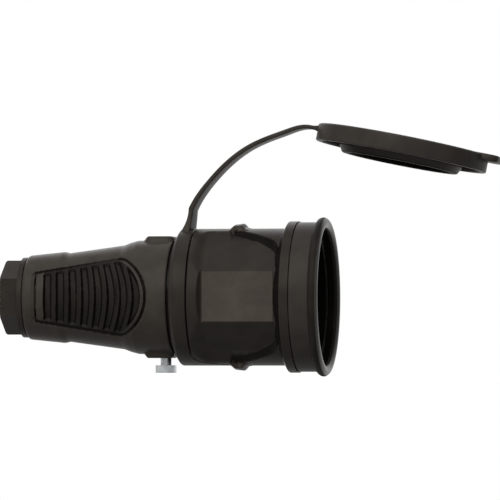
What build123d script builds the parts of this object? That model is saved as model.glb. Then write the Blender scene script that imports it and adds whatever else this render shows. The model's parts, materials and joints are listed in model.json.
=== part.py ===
"""Earthed cable coupling socket with a tethered sealing cap, in millimetres.

The axis runs along X, from the cable entry at the origin to the mouth. +Z is the side of the
cap's strap, and Y is across the two pin holes. The cap hangs open above the mouth.
"""
import os
from math import cos, radians, sin, tan

from build123d import *

os.makedirs("parts", exist_ok=True)

# Driving radius: the recess that takes the plug's body
recess_radius = 19.5

# Lengths of the outer pieces along the axis, from the cable end
nut_length = 8.5
nut_gap = 0.2
handle_length = 54.45
ring_seat_gap = 1.0
ring_width = 7.25
parting_gap = 0.15
sleeve_length = 37.65
mouth_ring_length = 11.05

# Fits, and how far a cutting shape runs past the surface it cuts
slip = 0.1
cover = 1.0

# Turns used by several shapes, in degrees
hex_sides = 6
hex_turn = 30.0
facet_turn = 45.0
quarter_turn = 90.0

# Gland nut, its washer and the seal round the cable
nut_across_flats = 23.6
nut_edge = 0.5
cable_radius = 6.8
nut_wall = 3.2
flange_radius = 14.7
flange_width = 1.7
flange_root = 0.9
thread_radius = 10.8
gland_washer_thickness = 0.7
gland_bore_radius = 8.25
gland_depth = 10.1
gland_step = 2.0
gland_seal_length = 9.6

# Handle skin
handle_wall = 2.2
handle_rear_radius = 15.5
handle_rear_round = 1.4
band_length = 13.25
band_radius = 16.7
band_step = 0.4
band_step_length = 1.6
neck_length = 35.85
neck_drop = 1.7
flare_length = 5.4
flare_drop = 0.45
spigot_step = 0.6
spigot_length = 10.5
pad_rise = 1.05
pad_length = 10.5
pad_width = 12.0
pad_round = 2.5
pad_edge_round = 0.6

# Grip panels on both sides of the handle
panel_setback = 3.75
panel_rear_half = 8.4
panel_front_half = 14.1
panel_straight = 33.6
panel_bulge = 9.6
panel_corner = 2.0
panel_line_width = 0.8
panel_line_depth = 0.5
panel_border = 1.7
rib_count = 8
rib_first = 6.25
rib_pitch = 4.84
rib_width = 2.4
rib_bow = 0.65
groove_depth = 1.2

# Cap ring, with its tongue underneath and the root of the strap on top
ring_wall = 4.4
ring_chamfer = 2.2
ring_rear_wall = 1.6
tongue_gap = 0.45
tongue_root_half = 9.0
tongue_tip_half = 4.2
tongue_thickness = 2.0
tongue_flare = 5.0
root_rear = 0.8
root_front = 2.05
root_sink = 2.5
root_half_width = 8.0
gusset_run = 3.95
gusset_rise = 3.1

# Strap, from its bend line on the ring to the film beside the cap
strap_half_width = 5.3
bend_setback = 1.55
bend_height = 7.0
bend_slope = 66.0
strap_root_thickness = 1.9
strap_thickness = 1.6
strap_low_run = 8.7
strap_low_rise = 12.3
strap_mid_run = 19.7
strap_mid_rise = 21.7
strap_high_run = 32.8
strap_high_rise = 27.4
film_run = 44.0
film_rise = 29.8
film_thickness = 1.4

# Sealing cap, about its own axis
film_reach = 2.6
film_height = 4.5
cap_tilt = 11.7
cap_height = 6.4
cap_crown = 1.0
cap_plate_under = 3.5
skirt_clearance = 0.4
skirt_wall = 2.1
skirt_lead = 0.6
cap_edge_round = 0.8
plug_clearance = 0.4
plug_taper = 1.3
plug_drop = 2.4
plug_wall = 2.3
tab_reach = 4.6
tab_half_width = 9.0
tab_thickness = 2.0
tab_set_down = 0.2
tab_round = 4.0

# Front sleeve: grip section, tongues, lugs and collar
flat_depth = 2.55
flat_setback = 4.4
flat_run_out = 1.5
facet_lag = 1.2
facet_run_out = 5.0
collar_slope = 3.0
collar_rim = 3.2
collar_rise = 2.6
tongue_reach = 21.85
wall_tip_half = 5.0
wall_lean = 28.6
wall_corner = 3.5
lug_length = 7.8
lug_rise = 1.85
lug_shoulder = 1.5
lug_foot = 0.4
lug_ramp = 1.8
lug_fall = 1.2
lug_run_out = 1.9
lug_angle = 15.0

# Mouth ring and plug recess
mouth_step = 0.35
bead_sink = 0.35
bead_radius = 2.1
lip_depth = 4.6
mouth_land_length = 4.0
mouth_land_wall = 1.0
neck_step = 1.0
recess_depth = 17.5
rim_clearance = 0.2
guide_rib_height = 2.2
guide_rib_width = 5.0
guide_rib_setback = 2.0

# Contacts
pin_spacing = 19.0
pin_hole_radius = 2.7
insert_ledge = 1.1
insert_floor = 2.5
socket_radius = 2.45
socket_wall = 1.15
socket_depth = 12.2
socket_slit = 0.7
pocket_radius = 4.3
terminal_size = 7.5
terminal_length = 14.0
wire_hole_radius = 1.7
wire_hole_depth = 9.0
terminal_screw_radius = 1.75
terminal_screw_setback = 3.6
terminal_head_radius = 2.9
terminal_head_height = 2.0
terminal_screw_reach = 3.4
driver_slot = 0.9
driver_slot_depth = 0.8

# Earth clip
clip_thickness = 0.8
clip_width = 7.0
clip_inset = 2.5
clip_bulge = 1.6
clip_reach = 14.0
clip_bulge_reach = 7.5
clip_tip_lift = 0.9
clip_play = 0.4
clip_flex = 1.6
earth_terminal_inset = 10.0

# Terminal carrier, captive nut, housing screw and cord clamp
seal_thickness = 0.8
seal_width = 1.8
carrier_flange_thickness = 1.7
carrier_hub_length = 5.4
tail_length = 24.0
tail_half_width = 9.4
tail_top_z = -8.0
tail_thickness = 3.4
boss_half_width = 5.4
boss_clearance = 1.3
boss_half_length = 5.0
screw_setback = 3.4
screw_radius = 2.0
screw_hole_radius = 2.2
screw_head_flats = 7.0
screw_head_height = 2.8
screw_head_drop = 2.6
captive_nut_flats = 7.0
captive_nut_height = 3.2
captive_ledge = 2.0
screw_beyond_nut = 0.6
clamp_setback = 1.2
clamp_length = 7.0
clamp_thickness = 3.4
clamp_gap = 6.0
clamp_arch_radius = 5.0
clamp_screw_y = 7.4
clamp_screw_radius = 1.5
clamp_head_radius = 2.4
clamp_head_height = 1.8
clamp_screw_past = 0.8

# Stations along the axis
x_handle_rear = nut_length + nut_gap
x_handle_front = x_handle_rear + handle_length
x_ring_rear = x_handle_front + ring_seat_gap
x_ring_front = x_ring_rear + ring_width
x_sleeve_rear = x_ring_front + parting_gap
x_parting = x_sleeve_rear + sleeve_length
x_mouth = x_parting + mouth_ring_length
x_bead = x_mouth - bead_radius
x_lip_rear = x_mouth - lip_depth
x_land_rear = x_lip_rear - mouth_land_length
x_rim = x_land_rear - rim_clearance
x_floor = x_rim - recess_depth
x_spigot_end = x_handle_front + spigot_length
x_carrier_flange = x_spigot_end + seal_thickness
x_insert_rear = x_carrier_flange + carrier_flange_thickness
x_hub_rear = x_carrier_flange - carrier_hub_length
x_tail_rear = x_hub_rear - tail_length
x_screw = x_handle_front - screw_setback
x_gland_end = nut_wall + gland_washer_thickness
x_thread_end = x_gland_end
x_gland_step = x_thread_end + gland_depth
x_cavity_rear = x_gland_step + gland_step

x_collar = x_parting - collar_rim
x_collar_rear = x_collar - collar_slope
x_slope_top = x_collar_rear + collar_slope * flat_depth / (flat_depth + collar_rise)
x_flat = x_sleeve_rear + flat_setback
x_lug = x_collar - tongue_reach

# Sizes that follow from those above
insert_radius = recess_radius + insert_ledge
spigot_radius = insert_radius
bore_radius = insert_radius + slip
handle_front_radius = spigot_radius + spigot_step
flare_radius = handle_front_radius - flare_drop
neck_radius = flare_radius - neck_drop
pad_height = handle_front_radius + pad_rise
body_radius = spigot_radius + ring_wall
ring_rear_radius = spigot_radius + ring_rear_wall
grip_flat = body_radius - flat_depth
collar_radius = body_radius + collar_rise
neck_wall_radius = body_radius - neck_step
mouth_land_radius = neck_wall_radius - mouth_land_wall
mouth_radius = collar_radius - mouth_step
bead_ring_radius = mouth_radius - bead_sink
lip_radius = bead_ring_radius - bead_radius
seal_inner_radius = insert_radius - seal_width
hub_radius = spigot_radius - handle_wall - slip
skirt_inner_radius = bead_ring_radius + bead_radius + skirt_clearance
cap_radius = skirt_inner_radius + skirt_wall
plug_base_radius = mouth_land_radius - plug_clearance
plug_tip_radius = plug_base_radius - plug_taper
clip_height = recess_radius - clip_inset
earth_terminal_z = recess_radius - earth_terminal_inset
clip_slot_half_width = clip_width / 2 + clip_play
clip_slot_low = clip_height - clip_thickness - clip_flex
clip_slot_high = clip_height + clip_thickness + clip_play
boss_bottom_z = -(hub_radius - boss_clearance)
far = 2 * body_radius
pin_side = pin_spacing / 2


def half_section(points):
    """A closed outline in the plane through the axis, as X along it and height from it."""
    with BuildSketch(Plane.XZ) as section:
        with BuildLine():
            Polyline(*points, close=True)
        make_face()
    return section.sketch


def turned(points):
    """The solid that a half section sweeps about the axis."""
    with BuildPart() as body:
        add(half_section(points))
        revolve(axis=Axis.X)
    return body.part


def rod(x_start, x_end, radius, y=0.0, z=0.0):
    """A round bar along X."""
    with BuildPart() as bar:
        with BuildSketch(Plane.YZ.offset(x_start)):
            with Locations((y, z)):
                Circle(radius)
        extrude(amount=x_end - x_start)
    return bar.part


def block(x_start, x_end, half_y, z_low, z_high, y=0.0):
    """A rectangular bar along X."""
    with BuildPart() as bar:
        with BuildSketch(Plane.YZ.offset(x_start)):
            with Locations((y, (z_low + z_high) / 2)):
                Rectangle(2 * half_y, z_high - z_low)
        extrude(amount=x_end - x_start)
    return bar.part


def skin(inset):
    """The handle's turned outline, moved inwards by inset, from its rear face to its shoulder."""
    x_band = x_handle_rear + band_length
    x_neck = x_handle_rear + neck_length
    x_flare = x_neck + flare_length
    with BuildPart() as body:
        with BuildSketch(Plane.XZ):
            with BuildLine():
                Polyline(
                    (x_handle_rear, 0),
                    (x_handle_rear, handle_rear_radius - inset),
                    (x_band, band_radius - inset),
                    (x_band + band_step_length, band_radius - band_step - inset),
                    (x_neck, neck_radius - inset),
                )
                flare = TangentArc(
                    (x_neck, neck_radius - inset),
                    (x_flare, flare_radius - inset),
                    tangent=(neck_length - band_length, neck_radius - band_radius),
                )
                Polyline(
                    flare @ 1,
                    (x_handle_front, handle_front_radius - inset),
                    (x_handle_front, 0),
                    (x_handle_rear, 0),
                )
            make_face()
        revolve(axis=Axis.X)
    return body.part


# Gland nut: hexagon with eased corners, a round flange and a socket for the handle's thread
with BuildPart() as gland_nut:
    with BuildSketch(Plane.YZ):
        RegularPolygon(nut_across_flats / 2, hex_sides, major_radius=False, rotation=hex_turn)
    extrude(amount=nut_length)
    nut_corner = nut_across_flats / 3 ** 0.5
    cone = [
        (0, nut_corner - nut_edge),
        (nut_edge, nut_corner),
        (nut_edge, nut_corner + cover),
        (-cover, nut_corner + cover),
        (-cover, nut_corner - nut_edge),
    ]
    add(turned(cone), mode=Mode.SUBTRACT)
    x_flange = nut_length - flange_width
    flange = [
        (x_flange - flange_root, thread_radius),
        (x_flange - flange_root, nut_across_flats / 2),
        (x_flange, flange_radius),
        (nut_length, flange_radius),
        (nut_length, thread_radius),
    ]
    add(turned(flange))
    add(rod(-cover, nut_length, cable_radius), mode=Mode.SUBTRACT)
    add(rod(nut_wall, nut_length + cover, thread_radius + slip), mode=Mode.SUBTRACT)
gland_nut.part.label = "gland_nut"
export_step(gland_nut.part, "parts/gland_nut.step")

# Gland washer and seal, squeezed round the cable by the nut
with BuildPart() as gland_washer:
    add(rod(nut_wall, x_gland_end, thread_radius - slip))
    add(rod(nut_wall, x_gland_end, cable_radius + slip), mode=Mode.SUBTRACT)
gland_washer.part.label = "gland_washer"
export_step(gland_washer.part, "parts/gland_washer.step")

with BuildPart() as gland_seal:
    add(rod(x_gland_end, x_gland_end + gland_seal_length, gland_bore_radius - slip))
    add(rod(x_gland_end, x_gland_end + gland_seal_length, cable_radius + slip), mode=Mode.SUBTRACT)
gland_seal.part.label = "gland_seal"
export_step(gland_seal.part, "parts/gland_seal.step")


def panel_outline(border):
    """The outline of a grip panel seen from the side, narrow at the rear and round in front."""
    x_rear = x_handle_rear + panel_setback
    x_front = x_rear + panel_straight
    with BuildSketch(Plane.XZ) as outline:
        with BuildLine():
            Polyline(
                (x_front, -panel_front_half),
                (x_rear, -panel_rear_half),
                (x_rear, panel_rear_half),
                (x_front, panel_front_half),
            )
            ThreePointArc(
                (x_front, panel_front_half),
                (x_front + panel_bulge, 0),
                (x_front, -panel_front_half),
            )
        make_face()
        fillet(outline.vertices().group_by(Axis.X)[0], panel_corner)
        if border:
            offset(amount=-border, mode=Mode.REPLACE)
    return outline.sketch


def rib_band(index):
    """One bowed rib across the grip panel; the bow grows towards the front."""
    x_left = x_handle_rear + rib_first + index * rib_pitch
    x_right = x_left + rib_width
    bow = rib_bow * (index + 1)
    tall = panel_front_half + cover
    with BuildSketch(Plane.XZ) as band:
        with BuildLine():
            left = ThreePointArc((x_left - bow, -tall), (x_left, 0), (x_left - bow, tall))
            right = ThreePointArc((x_right - bow, tall), (x_right, 0), (x_right - bow, -tall))
            Line(left @ 1, right @ 0)
            Line(right @ 1, left @ 0)
        make_face()
    return band.sketch


# Engraved line round each panel, and the grooves between its ribs
with BuildPart() as panel_lines:
    with BuildSketch(Plane.XZ):
        add(panel_outline(0))
        add(panel_outline(panel_line_width), mode=Mode.SUBTRACT)
    extrude(amount=far, both=True)
    add(skin(panel_line_depth), mode=Mode.SUBTRACT)

with BuildPart() as panel_grooves:
    with BuildSketch(Plane.XZ):
        add(panel_outline(panel_border))
        for rib in range(rib_count):
            add(rib_band(rib), mode=Mode.SUBTRACT)
    extrude(amount=far, both=True)
    add(skin(groove_depth), mode=Mode.SUBTRACT)

# Handle shell: ribbed cone with two flat pads, a threaded tail and a spigot for the cap ring
with BuildPart() as handle_shell:
    add(skin(0))
    rear_edge = handle_shell.edges().filter_by(GeomType.CIRCLE).sort_by(Axis.X)[0]
    fillet(rear_edge, handle_rear_round)
    with BuildSketch(Plane.XY):
        with Locations((x_handle_front - pad_length / 2, 0)):
            RectangleRounded(pad_length, pad_width, pad_round)
    extrude(amount=pad_height, both=True)
    fillet(handle_shell.faces().sort_by(Axis.Z)[-1].edges(), pad_edge_round)
    fillet(handle_shell.faces().sort_by(Axis.Z)[0].edges(), pad_edge_round)
    add(panel_lines.part, mode=Mode.SUBTRACT)
    add(panel_grooves.part, mode=Mode.SUBTRACT)
    add(rod(x_thread_end, x_handle_rear, thread_radius))
    add(rod(x_handle_front, x_spigot_end, spigot_radius))
    x_neck = x_handle_rear + neck_length
    cavity = [
        (x_cavity_rear, 0),
        (x_cavity_rear, handle_rear_radius - handle_wall - groove_depth),
        (x_neck, neck_radius - handle_wall - groove_depth),
        (x_neck + flare_length, spigot_radius - handle_wall),
        (x_spigot_end + cover, spigot_radius - handle_wall),
        (x_spigot_end + cover, 0),
    ]
    add(turned(cavity), mode=Mode.SUBTRACT)
    add(rod(x_thread_end - cover, x_gland_step, gland_bore_radius), mode=Mode.SUBTRACT)
    add(rod(x_gland_step, x_cavity_rear + cover, cable_radius + slip), mode=Mode.SUBTRACT)
    with BuildSketch(Plane.XY.offset(-pad_height - cover)):
        with Locations((x_screw, 0)):
            Circle(screw_hole_radius)
    extrude(amount=pad_height, mode=Mode.SUBTRACT)
handle_shell.part.label = "handle_shell"
export_step(handle_shell.part, "parts/handle_shell.step")

# Housing screw with a hexagon head standing off its pad, and the nut that holds it
z_head_top = -pad_height - screw_head_drop
z_nut_low = boss_bottom_z + captive_ledge
z_nut_high = z_nut_low + captive_nut_height
with BuildPart() as housing_screw:
    with BuildSketch(Plane.XY.offset(z_head_top - screw_head_height)):
        with Locations((x_screw, 0)):
            RegularPolygon(screw_head_flats / 2, hex_sides, major_radius=False, rotation=hex_turn)
    extrude(amount=screw_head_height)
    with BuildSketch(Plane.XY.offset(z_head_top)):
        with Locations((x_screw, 0)):
            Circle(screw_radius)
    extrude(amount=z_nut_high + screw_beyond_nut - z_head_top)
housing_screw.part.label = "housing_screw"
export_step(housing_screw.part, "parts/housing_screw.step")

with BuildPart() as captive_nut:
    with BuildSketch(Plane.XY.offset(z_nut_low)):
        with Locations((x_screw, 0)):
            RegularPolygon(captive_nut_flats / 2, hex_sides, major_radius=False, rotation=hex_turn)
            Circle(screw_radius, mode=Mode.SUBTRACT)
    extrude(amount=captive_nut_height)
captive_nut.part.label = "captive_nut"
export_step(captive_nut.part, "parts/captive_nut.step")


def ring_tongue(margin):
    """The tongue that runs forward from the ring along the underside, grown by margin."""
    x_root = x_ring_front - tongue_thickness
    x_tip = x_lug - tongue_gap + margin
    root_half = tongue_root_half + margin
    tip_half = tongue_tip_half + margin
    annulus = [
        (x_root, body_radius - tongue_thickness - margin),
        (x_root, body_radius + margin),
        (x_tip + cover, body_radius + margin),
        (x_tip + cover, body_radius - tongue_thickness - margin),
    ]
    with BuildPart() as tongue:
        add(turned(annulus))
        with BuildSketch(Plane.XY):
            with BuildLine():
                Polyline(
                    (x_ring_front + tongue_flare, root_half),
                    (x_tip, tip_half),
                    (x_tip, -tip_half),
                    (x_ring_front + tongue_flare, -root_half),
                )
                lower = JernArc(
                    (x_ring_front + tongue_flare, -root_half),
                    (-1, 0),
                    tongue_flare - margin,
                    quarter_turn,
                )
                upper = JernArc(
                    (x_ring_front + tongue_flare, root_half),
                    (-1, 0),
                    tongue_flare - margin,
                    -quarter_turn,
                )
                Polyline(
                    lower @ 1,
                    (x_root, (lower @ 1).Y),
                    (x_root, (upper @ 1).Y),
                    upper @ 1,
                )
            make_face()
        extrude(amount=-far, mode=Mode.INTERSECT)
    return tongue.part


bend = Vector(x_ring_front - bend_setback, 0, body_radius + bend_height)
bend_run = Vector(cos(radians(bend_slope)), 0, sin(radians(bend_slope)))
bend_across = Vector(-bend_run.Z, 0, bend_run.X) * (strap_root_thickness / 2)
bend_back = bend + bend_across
bend_front = bend - bend_across

# Root of the strap: gusseted towards the handle, and wider where it stands on the ring
with BuildPart() as strap_root:
    with BuildSketch(Plane.XZ):
        with BuildLine():
            Polyline(
                (x_ring_rear + root_rear, body_radius - root_sink),
                (x_ring_front - root_front, body_radius - root_sink),
                (bend_front.X, bend_front.Z),
                (bend_back.X, bend_back.Z),
                (x_ring_rear + gusset_run, body_radius + gusset_rise),
                close=True,
            )
        make_face()
    extrude(amount=root_half_width, both=True)
    with BuildSketch(Plane.YZ.offset(x_ring_rear)):
        with BuildLine():
            Polyline(
                (-root_half_width, body_radius - root_sink),
                (-strap_half_width, bend_front.Z),
                (-strap_half_width, bend_back.Z + cover),
                (strap_half_width, bend_back.Z + cover),
                (strap_half_width, bend_front.Z),
                (root_half_width, body_radius - root_sink),
                close=True,
            )
        make_face()
    extrude(amount=far, mode=Mode.INTERSECT)

# Cap ring: soft ring with a coned rear edge, the tongue and the root of the strap
with BuildPart() as cap_ring:
    ring = [
        (x_ring_rear, spigot_radius + slip),
        (x_ring_rear, ring_rear_radius),
        (x_ring_rear + ring_chamfer, body_radius),
        (x_ring_front, body_radius),
        (x_ring_front, spigot_radius + slip),
    ]
    add(turned(ring))
    add(ring_tongue(0))
    add(strap_root.part)
cap_ring.part.label = "cap_ring"
export_step(cap_ring.part, "parts/cap_ring.step")

# Strap: one bent soft band, thinning to a film beside the cap
tilt = radians(cap_tilt)
cap_across = Vector(cos(tilt), 0, -sin(tilt))
cap_up = Vector(sin(tilt), 0, cos(tilt))
film = bend + Vector(film_run, 0, film_rise)
strap_line = [
    (bend, strap_root_thickness),
    (bend + Vector(strap_low_run, 0, strap_low_rise), strap_thickness),
    (bend + Vector(strap_mid_run, 0, strap_mid_rise), strap_thickness),
    (bend + Vector(strap_high_run, 0, strap_high_rise), strap_thickness),
    (film, film_thickness),
]
strap_ends = [(bend_run.X, bend_run.Z), (cap_across.X, cap_across.Z)]
with BuildLine(Plane.XZ):
    strap_middle = Spline(*[(p.X, p.Z) for p, thickness in strap_line], tangents=strap_ends)
strap_top = []
strap_bottom = []
for point, thickness in strap_line:
    run = strap_middle.tangent_at(strap_middle.param_at_point(point))
    across = Vector(-run.Z, 0, run.X) * (thickness / 2)
    strap_top.append(point + across)
    strap_bottom.append(point - across)
with BuildPart() as cap_strap:
    with BuildSketch(Plane.XZ):
        with BuildLine():
            upper = Spline(*[(p.X, p.Z) for p in strap_top], tangents=strap_ends)
            lower = Spline(*[(p.X, p.Z) for p in strap_bottom], tangents=strap_ends)
            Line(upper @ 0, lower @ 0)
            Line(upper @ 1, lower @ 1)
        make_face()
    extrude(amount=strap_half_width, both=True)
cap_strap.part.label = "cap_strap"
export_step(cap_strap.part, "parts/cap_strap.step")

# Sealing cap: crowned plate, skirt for the bead, inner plug ring, pull tab and film lug
cap_center = film + cap_across * (cap_radius + film_reach) - cap_up * film_height
cap_section = Plane(cap_center, x_dir=cap_across, z_dir=(0, -1, 0))
cap_face = Plane(cap_center, x_dir=cap_across, z_dir=cap_up)
x_film = -(cap_radius + film_reach)
with BuildPart() as sealing_cap:
    with BuildSketch(cap_section):
        with BuildLine():
            Polyline(
                (0, cap_plate_under),
                (plug_base_radius - plug_wall, cap_plate_under),
                (plug_tip_radius - plug_wall, -plug_drop),
                (plug_tip_radius, -plug_drop),
                (plug_base_radius, 0),
                (plug_base_radius, cap_plate_under),
                (skirt_inner_radius, cap_plate_under),
                (skirt_inner_radius, skirt_lead),
                (skirt_inner_radius + skirt_lead, 0),
                (cap_radius, 0),
                (cap_radius, cap_height - cap_edge_round),
            )
            JernArc((cap_radius, cap_height - cap_edge_round), (0, 1), cap_edge_round, quarter_turn)
            crown = TangentArc(
                (0, cap_height + cap_crown),
                (cap_radius - cap_edge_round, cap_height),
                tangent=(1, 0),
            )
            Line(crown @ 0, (0, cap_plate_under))
        make_face()
    revolve(axis=Axis(cap_center, cap_up))
    with BuildSketch(cap_face.offset(cap_height - tab_set_down - tab_thickness)):
        with Locations(((cap_radius + tab_reach + skirt_inner_radius - tab_round) / 2, 0)):
            RectangleRounded(
                cap_radius + tab_reach - skirt_inner_radius + tab_round, 2 * tab_half_width, tab_round
            )
        with Locations((skirt_inner_radius - far / 2, 0)):
            Rectangle(far, far, mode=Mode.SUBTRACT)
    extrude(amount=tab_thickness)
    with BuildSketch(cap_section):
        with BuildLine():
            Polyline(
                (x_film, film_height - film_thickness / 2),
                (x_film, film_height + film_thickness / 2),
                (-skirt_inner_radius, film_height + film_thickness / 2),
                (-skirt_inner_radius, film_height - film_thickness / 2),
                close=True,
            )
        make_face()
    extrude(amount=strap_half_width, both=True)
sealing_cap.part.label = "sealing_cap"
export_step(sealing_cap.part, "parts/sealing_cap.step")

# Front sleeve: eight-sided grip section, rounded top and bottom, with tongues, lugs and a collar
def flat_cut(x_start, run_out):
    """Cuts two opposite flats that run out towards the ring."""
    with BuildPart() as cut:
        with BuildSketch(Plane.XY):
            with BuildLine():
                Polyline(
                    (x_start, grip_flat),
                    (x_collar, grip_flat),
                    (x_collar, far),
                    (x_start - run_out, far),
                    (x_start - run_out, body_radius),
                    close=True,
                )
            make_face()
            mirror(about=Plane.XZ)
        extrude(amount=far, both=True)
    return cut.part


def standing_tongue():
    """The strip left standing on top, widening from the lug and rounded into the collar."""
    lean = radians(wall_lean)
    x_corner = x_slope_top - wall_corner * (1 - sin(lean))
    corner_half = wall_tip_half + (x_corner - x_lug) * tan(lean)
    with BuildPart() as strip:
        with BuildSketch(Plane.XY):
            with BuildLine():
                Polyline((x_lug, 0), (x_lug, wall_tip_half), (x_corner, corner_half))
                corner = JernArc(
                    (x_corner, corner_half), (cos(lean), sin(lean)), wall_corner, quarter_turn - wall_lean
                )
                Polyline(corner @ 1, ((corner @ 1).X, far), (x_collar, far), (x_collar, 0), (x_lug, 0))
            make_face()
            mirror(about=Plane.XZ)
        extrude(amount=far)
        add(rod(x_lug, x_collar, body_radius), mode=Mode.INTERSECT)
    return strip.part


def lug():
    """The low hump at the tip of a tongue, over a few degrees each side of the top."""
    lean = radians(lug_angle)
    side = Plane((0, 0, 0), x_dir=(1, 0, 0), z_dir=(0, -cos(lean), sin(lean)))
    with BuildPart() as hump:
        with BuildSketch(side):
            with BuildLine():
                Polyline(
                    (x_lug, body_radius - cover),
                    (x_lug, body_radius),
                    (x_lug + lug_ramp, body_radius + lug_shoulder),
                    (x_lug + lug_length - lug_fall - lug_run_out, body_radius + lug_rise),
                    (x_lug + lug_length - lug_run_out, body_radius + lug_foot),
                    (x_lug + lug_length, body_radius),
                    (x_lug + lug_length, body_radius - cover),
                    close=True,
                )
            make_face()
        revolve(axis=Axis.X, revolution_arc=2 * lug_angle)
    return hump.part


with BuildPart() as front_sleeve:
    add(rod(x_sleeve_rear, x_collar, body_radius))
    add(flat_cut(x_flat, flat_run_out), mode=Mode.SUBTRACT)
    for turn in (-facet_turn, facet_turn):
        add(Rot(turn, 0, 0) * flat_cut(x_flat + facet_lag, facet_run_out), mode=Mode.SUBTRACT)
    add(standing_tongue())
    mirror(standing_tongue(), about=Plane.XY)
    collar = [
        (x_collar_rear, bore_radius),
        (x_collar_rear, grip_flat),
        (x_collar, collar_radius),
        (x_parting, collar_radius),
        (x_parting, neck_wall_radius),
        (x_rim, neck_wall_radius),
        (x_rim, recess_radius),
        (x_floor, recess_radius),
        (x_floor, bore_radius),
    ]
    add(turned(collar))
    add(lug())
    mirror(lug(), about=Plane.XY)
    add(ring_tongue(parting_gap), mode=Mode.SUBTRACT)
    add(rod(x_sleeve_rear - cover, x_floor, bore_radius), mode=Mode.SUBTRACT)
    add(rod(x_floor, x_rim + cover, recess_radius), mode=Mode.SUBTRACT)
    with BuildSketch(Plane.YZ.offset(x_floor)):
        for side in (-1, 1):
            with Locations((side * recess_radius, 0)):
                Rectangle(2 * guide_rib_height, guide_rib_width)
        Circle(recess_radius + cover, mode=Mode.INTERSECT)
    extrude(amount=recess_depth - guide_rib_setback)
front_sleeve.part.label = "front_sleeve"
export_step(front_sleeve.part, "parts/front_sleeve.step")

# Mouth ring: soft ring pushed over the sleeve's neck, with a round bead at its lip
with BuildPart() as mouth_ring:
    lip = [
        (x_parting + parting_gap, neck_wall_radius + slip),
        (x_parting + parting_gap, mouth_radius),
        (x_bead, mouth_radius),
        (x_bead, lip_radius),
        (x_lip_rear, lip_radius),
        (x_lip_rear, mouth_land_radius),
        (x_land_rear, mouth_land_radius),
        (x_land_rear, neck_wall_radius + slip),
    ]
    add(turned(lip))
    with BuildSketch(Plane.XZ):
        with Locations((x_bead, bead_ring_radius)):
            Circle(bead_radius)
    revolve(axis=Axis.X)
mouth_ring.part.label = "mouth_ring"
export_step(mouth_ring.part, "parts/mouth_ring.step")

# Contact insert: floor of the plug recess, with pin holes, contact pockets and slots for the clip
with BuildPart() as contact_insert:
    add(rod(x_insert_rear, x_floor, insert_radius))
    for side in (-1, 1):
        add(rod(x_insert_rear, x_floor, pin_hole_radius, side * pin_side), mode=Mode.SUBTRACT)
        add(rod(x_insert_rear, x_floor - insert_floor, pocket_radius, side * pin_side), mode=Mode.SUBTRACT)
        slot_z = sorted((side * clip_slot_low, side * clip_slot_high))
        add(block(x_insert_rear, x_floor, clip_slot_half_width, *slot_z), mode=Mode.SUBTRACT)
contact_insert.part.label = "contact_insert"
export_step(contact_insert.part, "parts/contact_insert.step")

# Body seal, gripped between the handle's spigot and the carrier
with BuildPart() as body_seal:
    add(rod(x_spigot_end, x_carrier_flange, insert_radius))
    add(rod(x_spigot_end, x_carrier_flange, seal_inner_radius), mode=Mode.SUBTRACT)
body_seal.part.label = "body_seal"
export_step(body_seal.part, "parts/body_seal.step")

# Terminal carrier: flange and hub with three terminal windows, and a tail under the cable
window = terminal_size / 2 + slip
z_tail_low = tail_top_z - tail_thickness
with BuildPart() as terminal_carrier:
    add(rod(x_carrier_flange, x_insert_rear, insert_radius))
    add(rod(x_hub_rear, x_carrier_flange, hub_radius))
    add(block(x_tail_rear, x_hub_rear, tail_half_width, z_tail_low, tail_top_z))
    add(block(x_screw - boss_half_length, x_hub_rear, boss_half_width, boss_bottom_z, z_tail_low))
    for side in (-1, 1):
        add(block(x_hub_rear, x_insert_rear, window, -window, window, side * pin_side), mode=Mode.SUBTRACT)
    earth_window = (earth_terminal_z - window, earth_terminal_z + window)
    add(block(x_hub_rear, x_insert_rear, window, *earth_window), mode=Mode.SUBTRACT)
    clip_room = clip_thickness + slip
    groove_z = clip_height + clip_thickness
    clip_half = clip_width / 2 + slip
    add(block(x_insert_rear - clip_room, x_insert_rear, clip_half, -groove_z, groove_z), mode=Mode.SUBTRACT)
    with BuildSketch(Plane.XY.offset(z_nut_low)):
        with Locations((x_screw, 0)):
            RegularPolygon(captive_nut_flats / 2 + slip, hex_sides, major_radius=False, rotation=hex_turn)
    extrude(amount=tail_top_z - z_nut_low, mode=Mode.SUBTRACT)
    with BuildSketch(Plane.XY.offset(boss_bottom_z)):
        with Locations((x_screw, 0)):
            Circle(screw_hole_radius)
    extrude(amount=captive_ledge, mode=Mode.SUBTRACT)
    x_clamp = x_tail_rear + clamp_setback + clamp_length / 2
    with BuildSketch(Plane.XY.offset(z_tail_low)):
        for side in (-1, 1):
            with Locations((x_clamp, side * clamp_screw_y)):
                Circle(clamp_screw_radius)
    extrude(amount=tail_thickness, mode=Mode.SUBTRACT)
terminal_carrier.part.label = "terminal_carrier"
export_step(terminal_carrier.part, "parts/terminal_carrier.step")

# Live and neutral contacts: a slit spring sleeve for the pin, drawn out into a terminal block
x_terminal_rear = x_insert_rear - terminal_length
x_socket_end = x_floor - insert_floor - slip
sleeve_radius = socket_radius + socket_wall
terminal_half = terminal_size / 2
x_terminal_screw = x_terminal_rear + terminal_screw_setback


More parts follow.
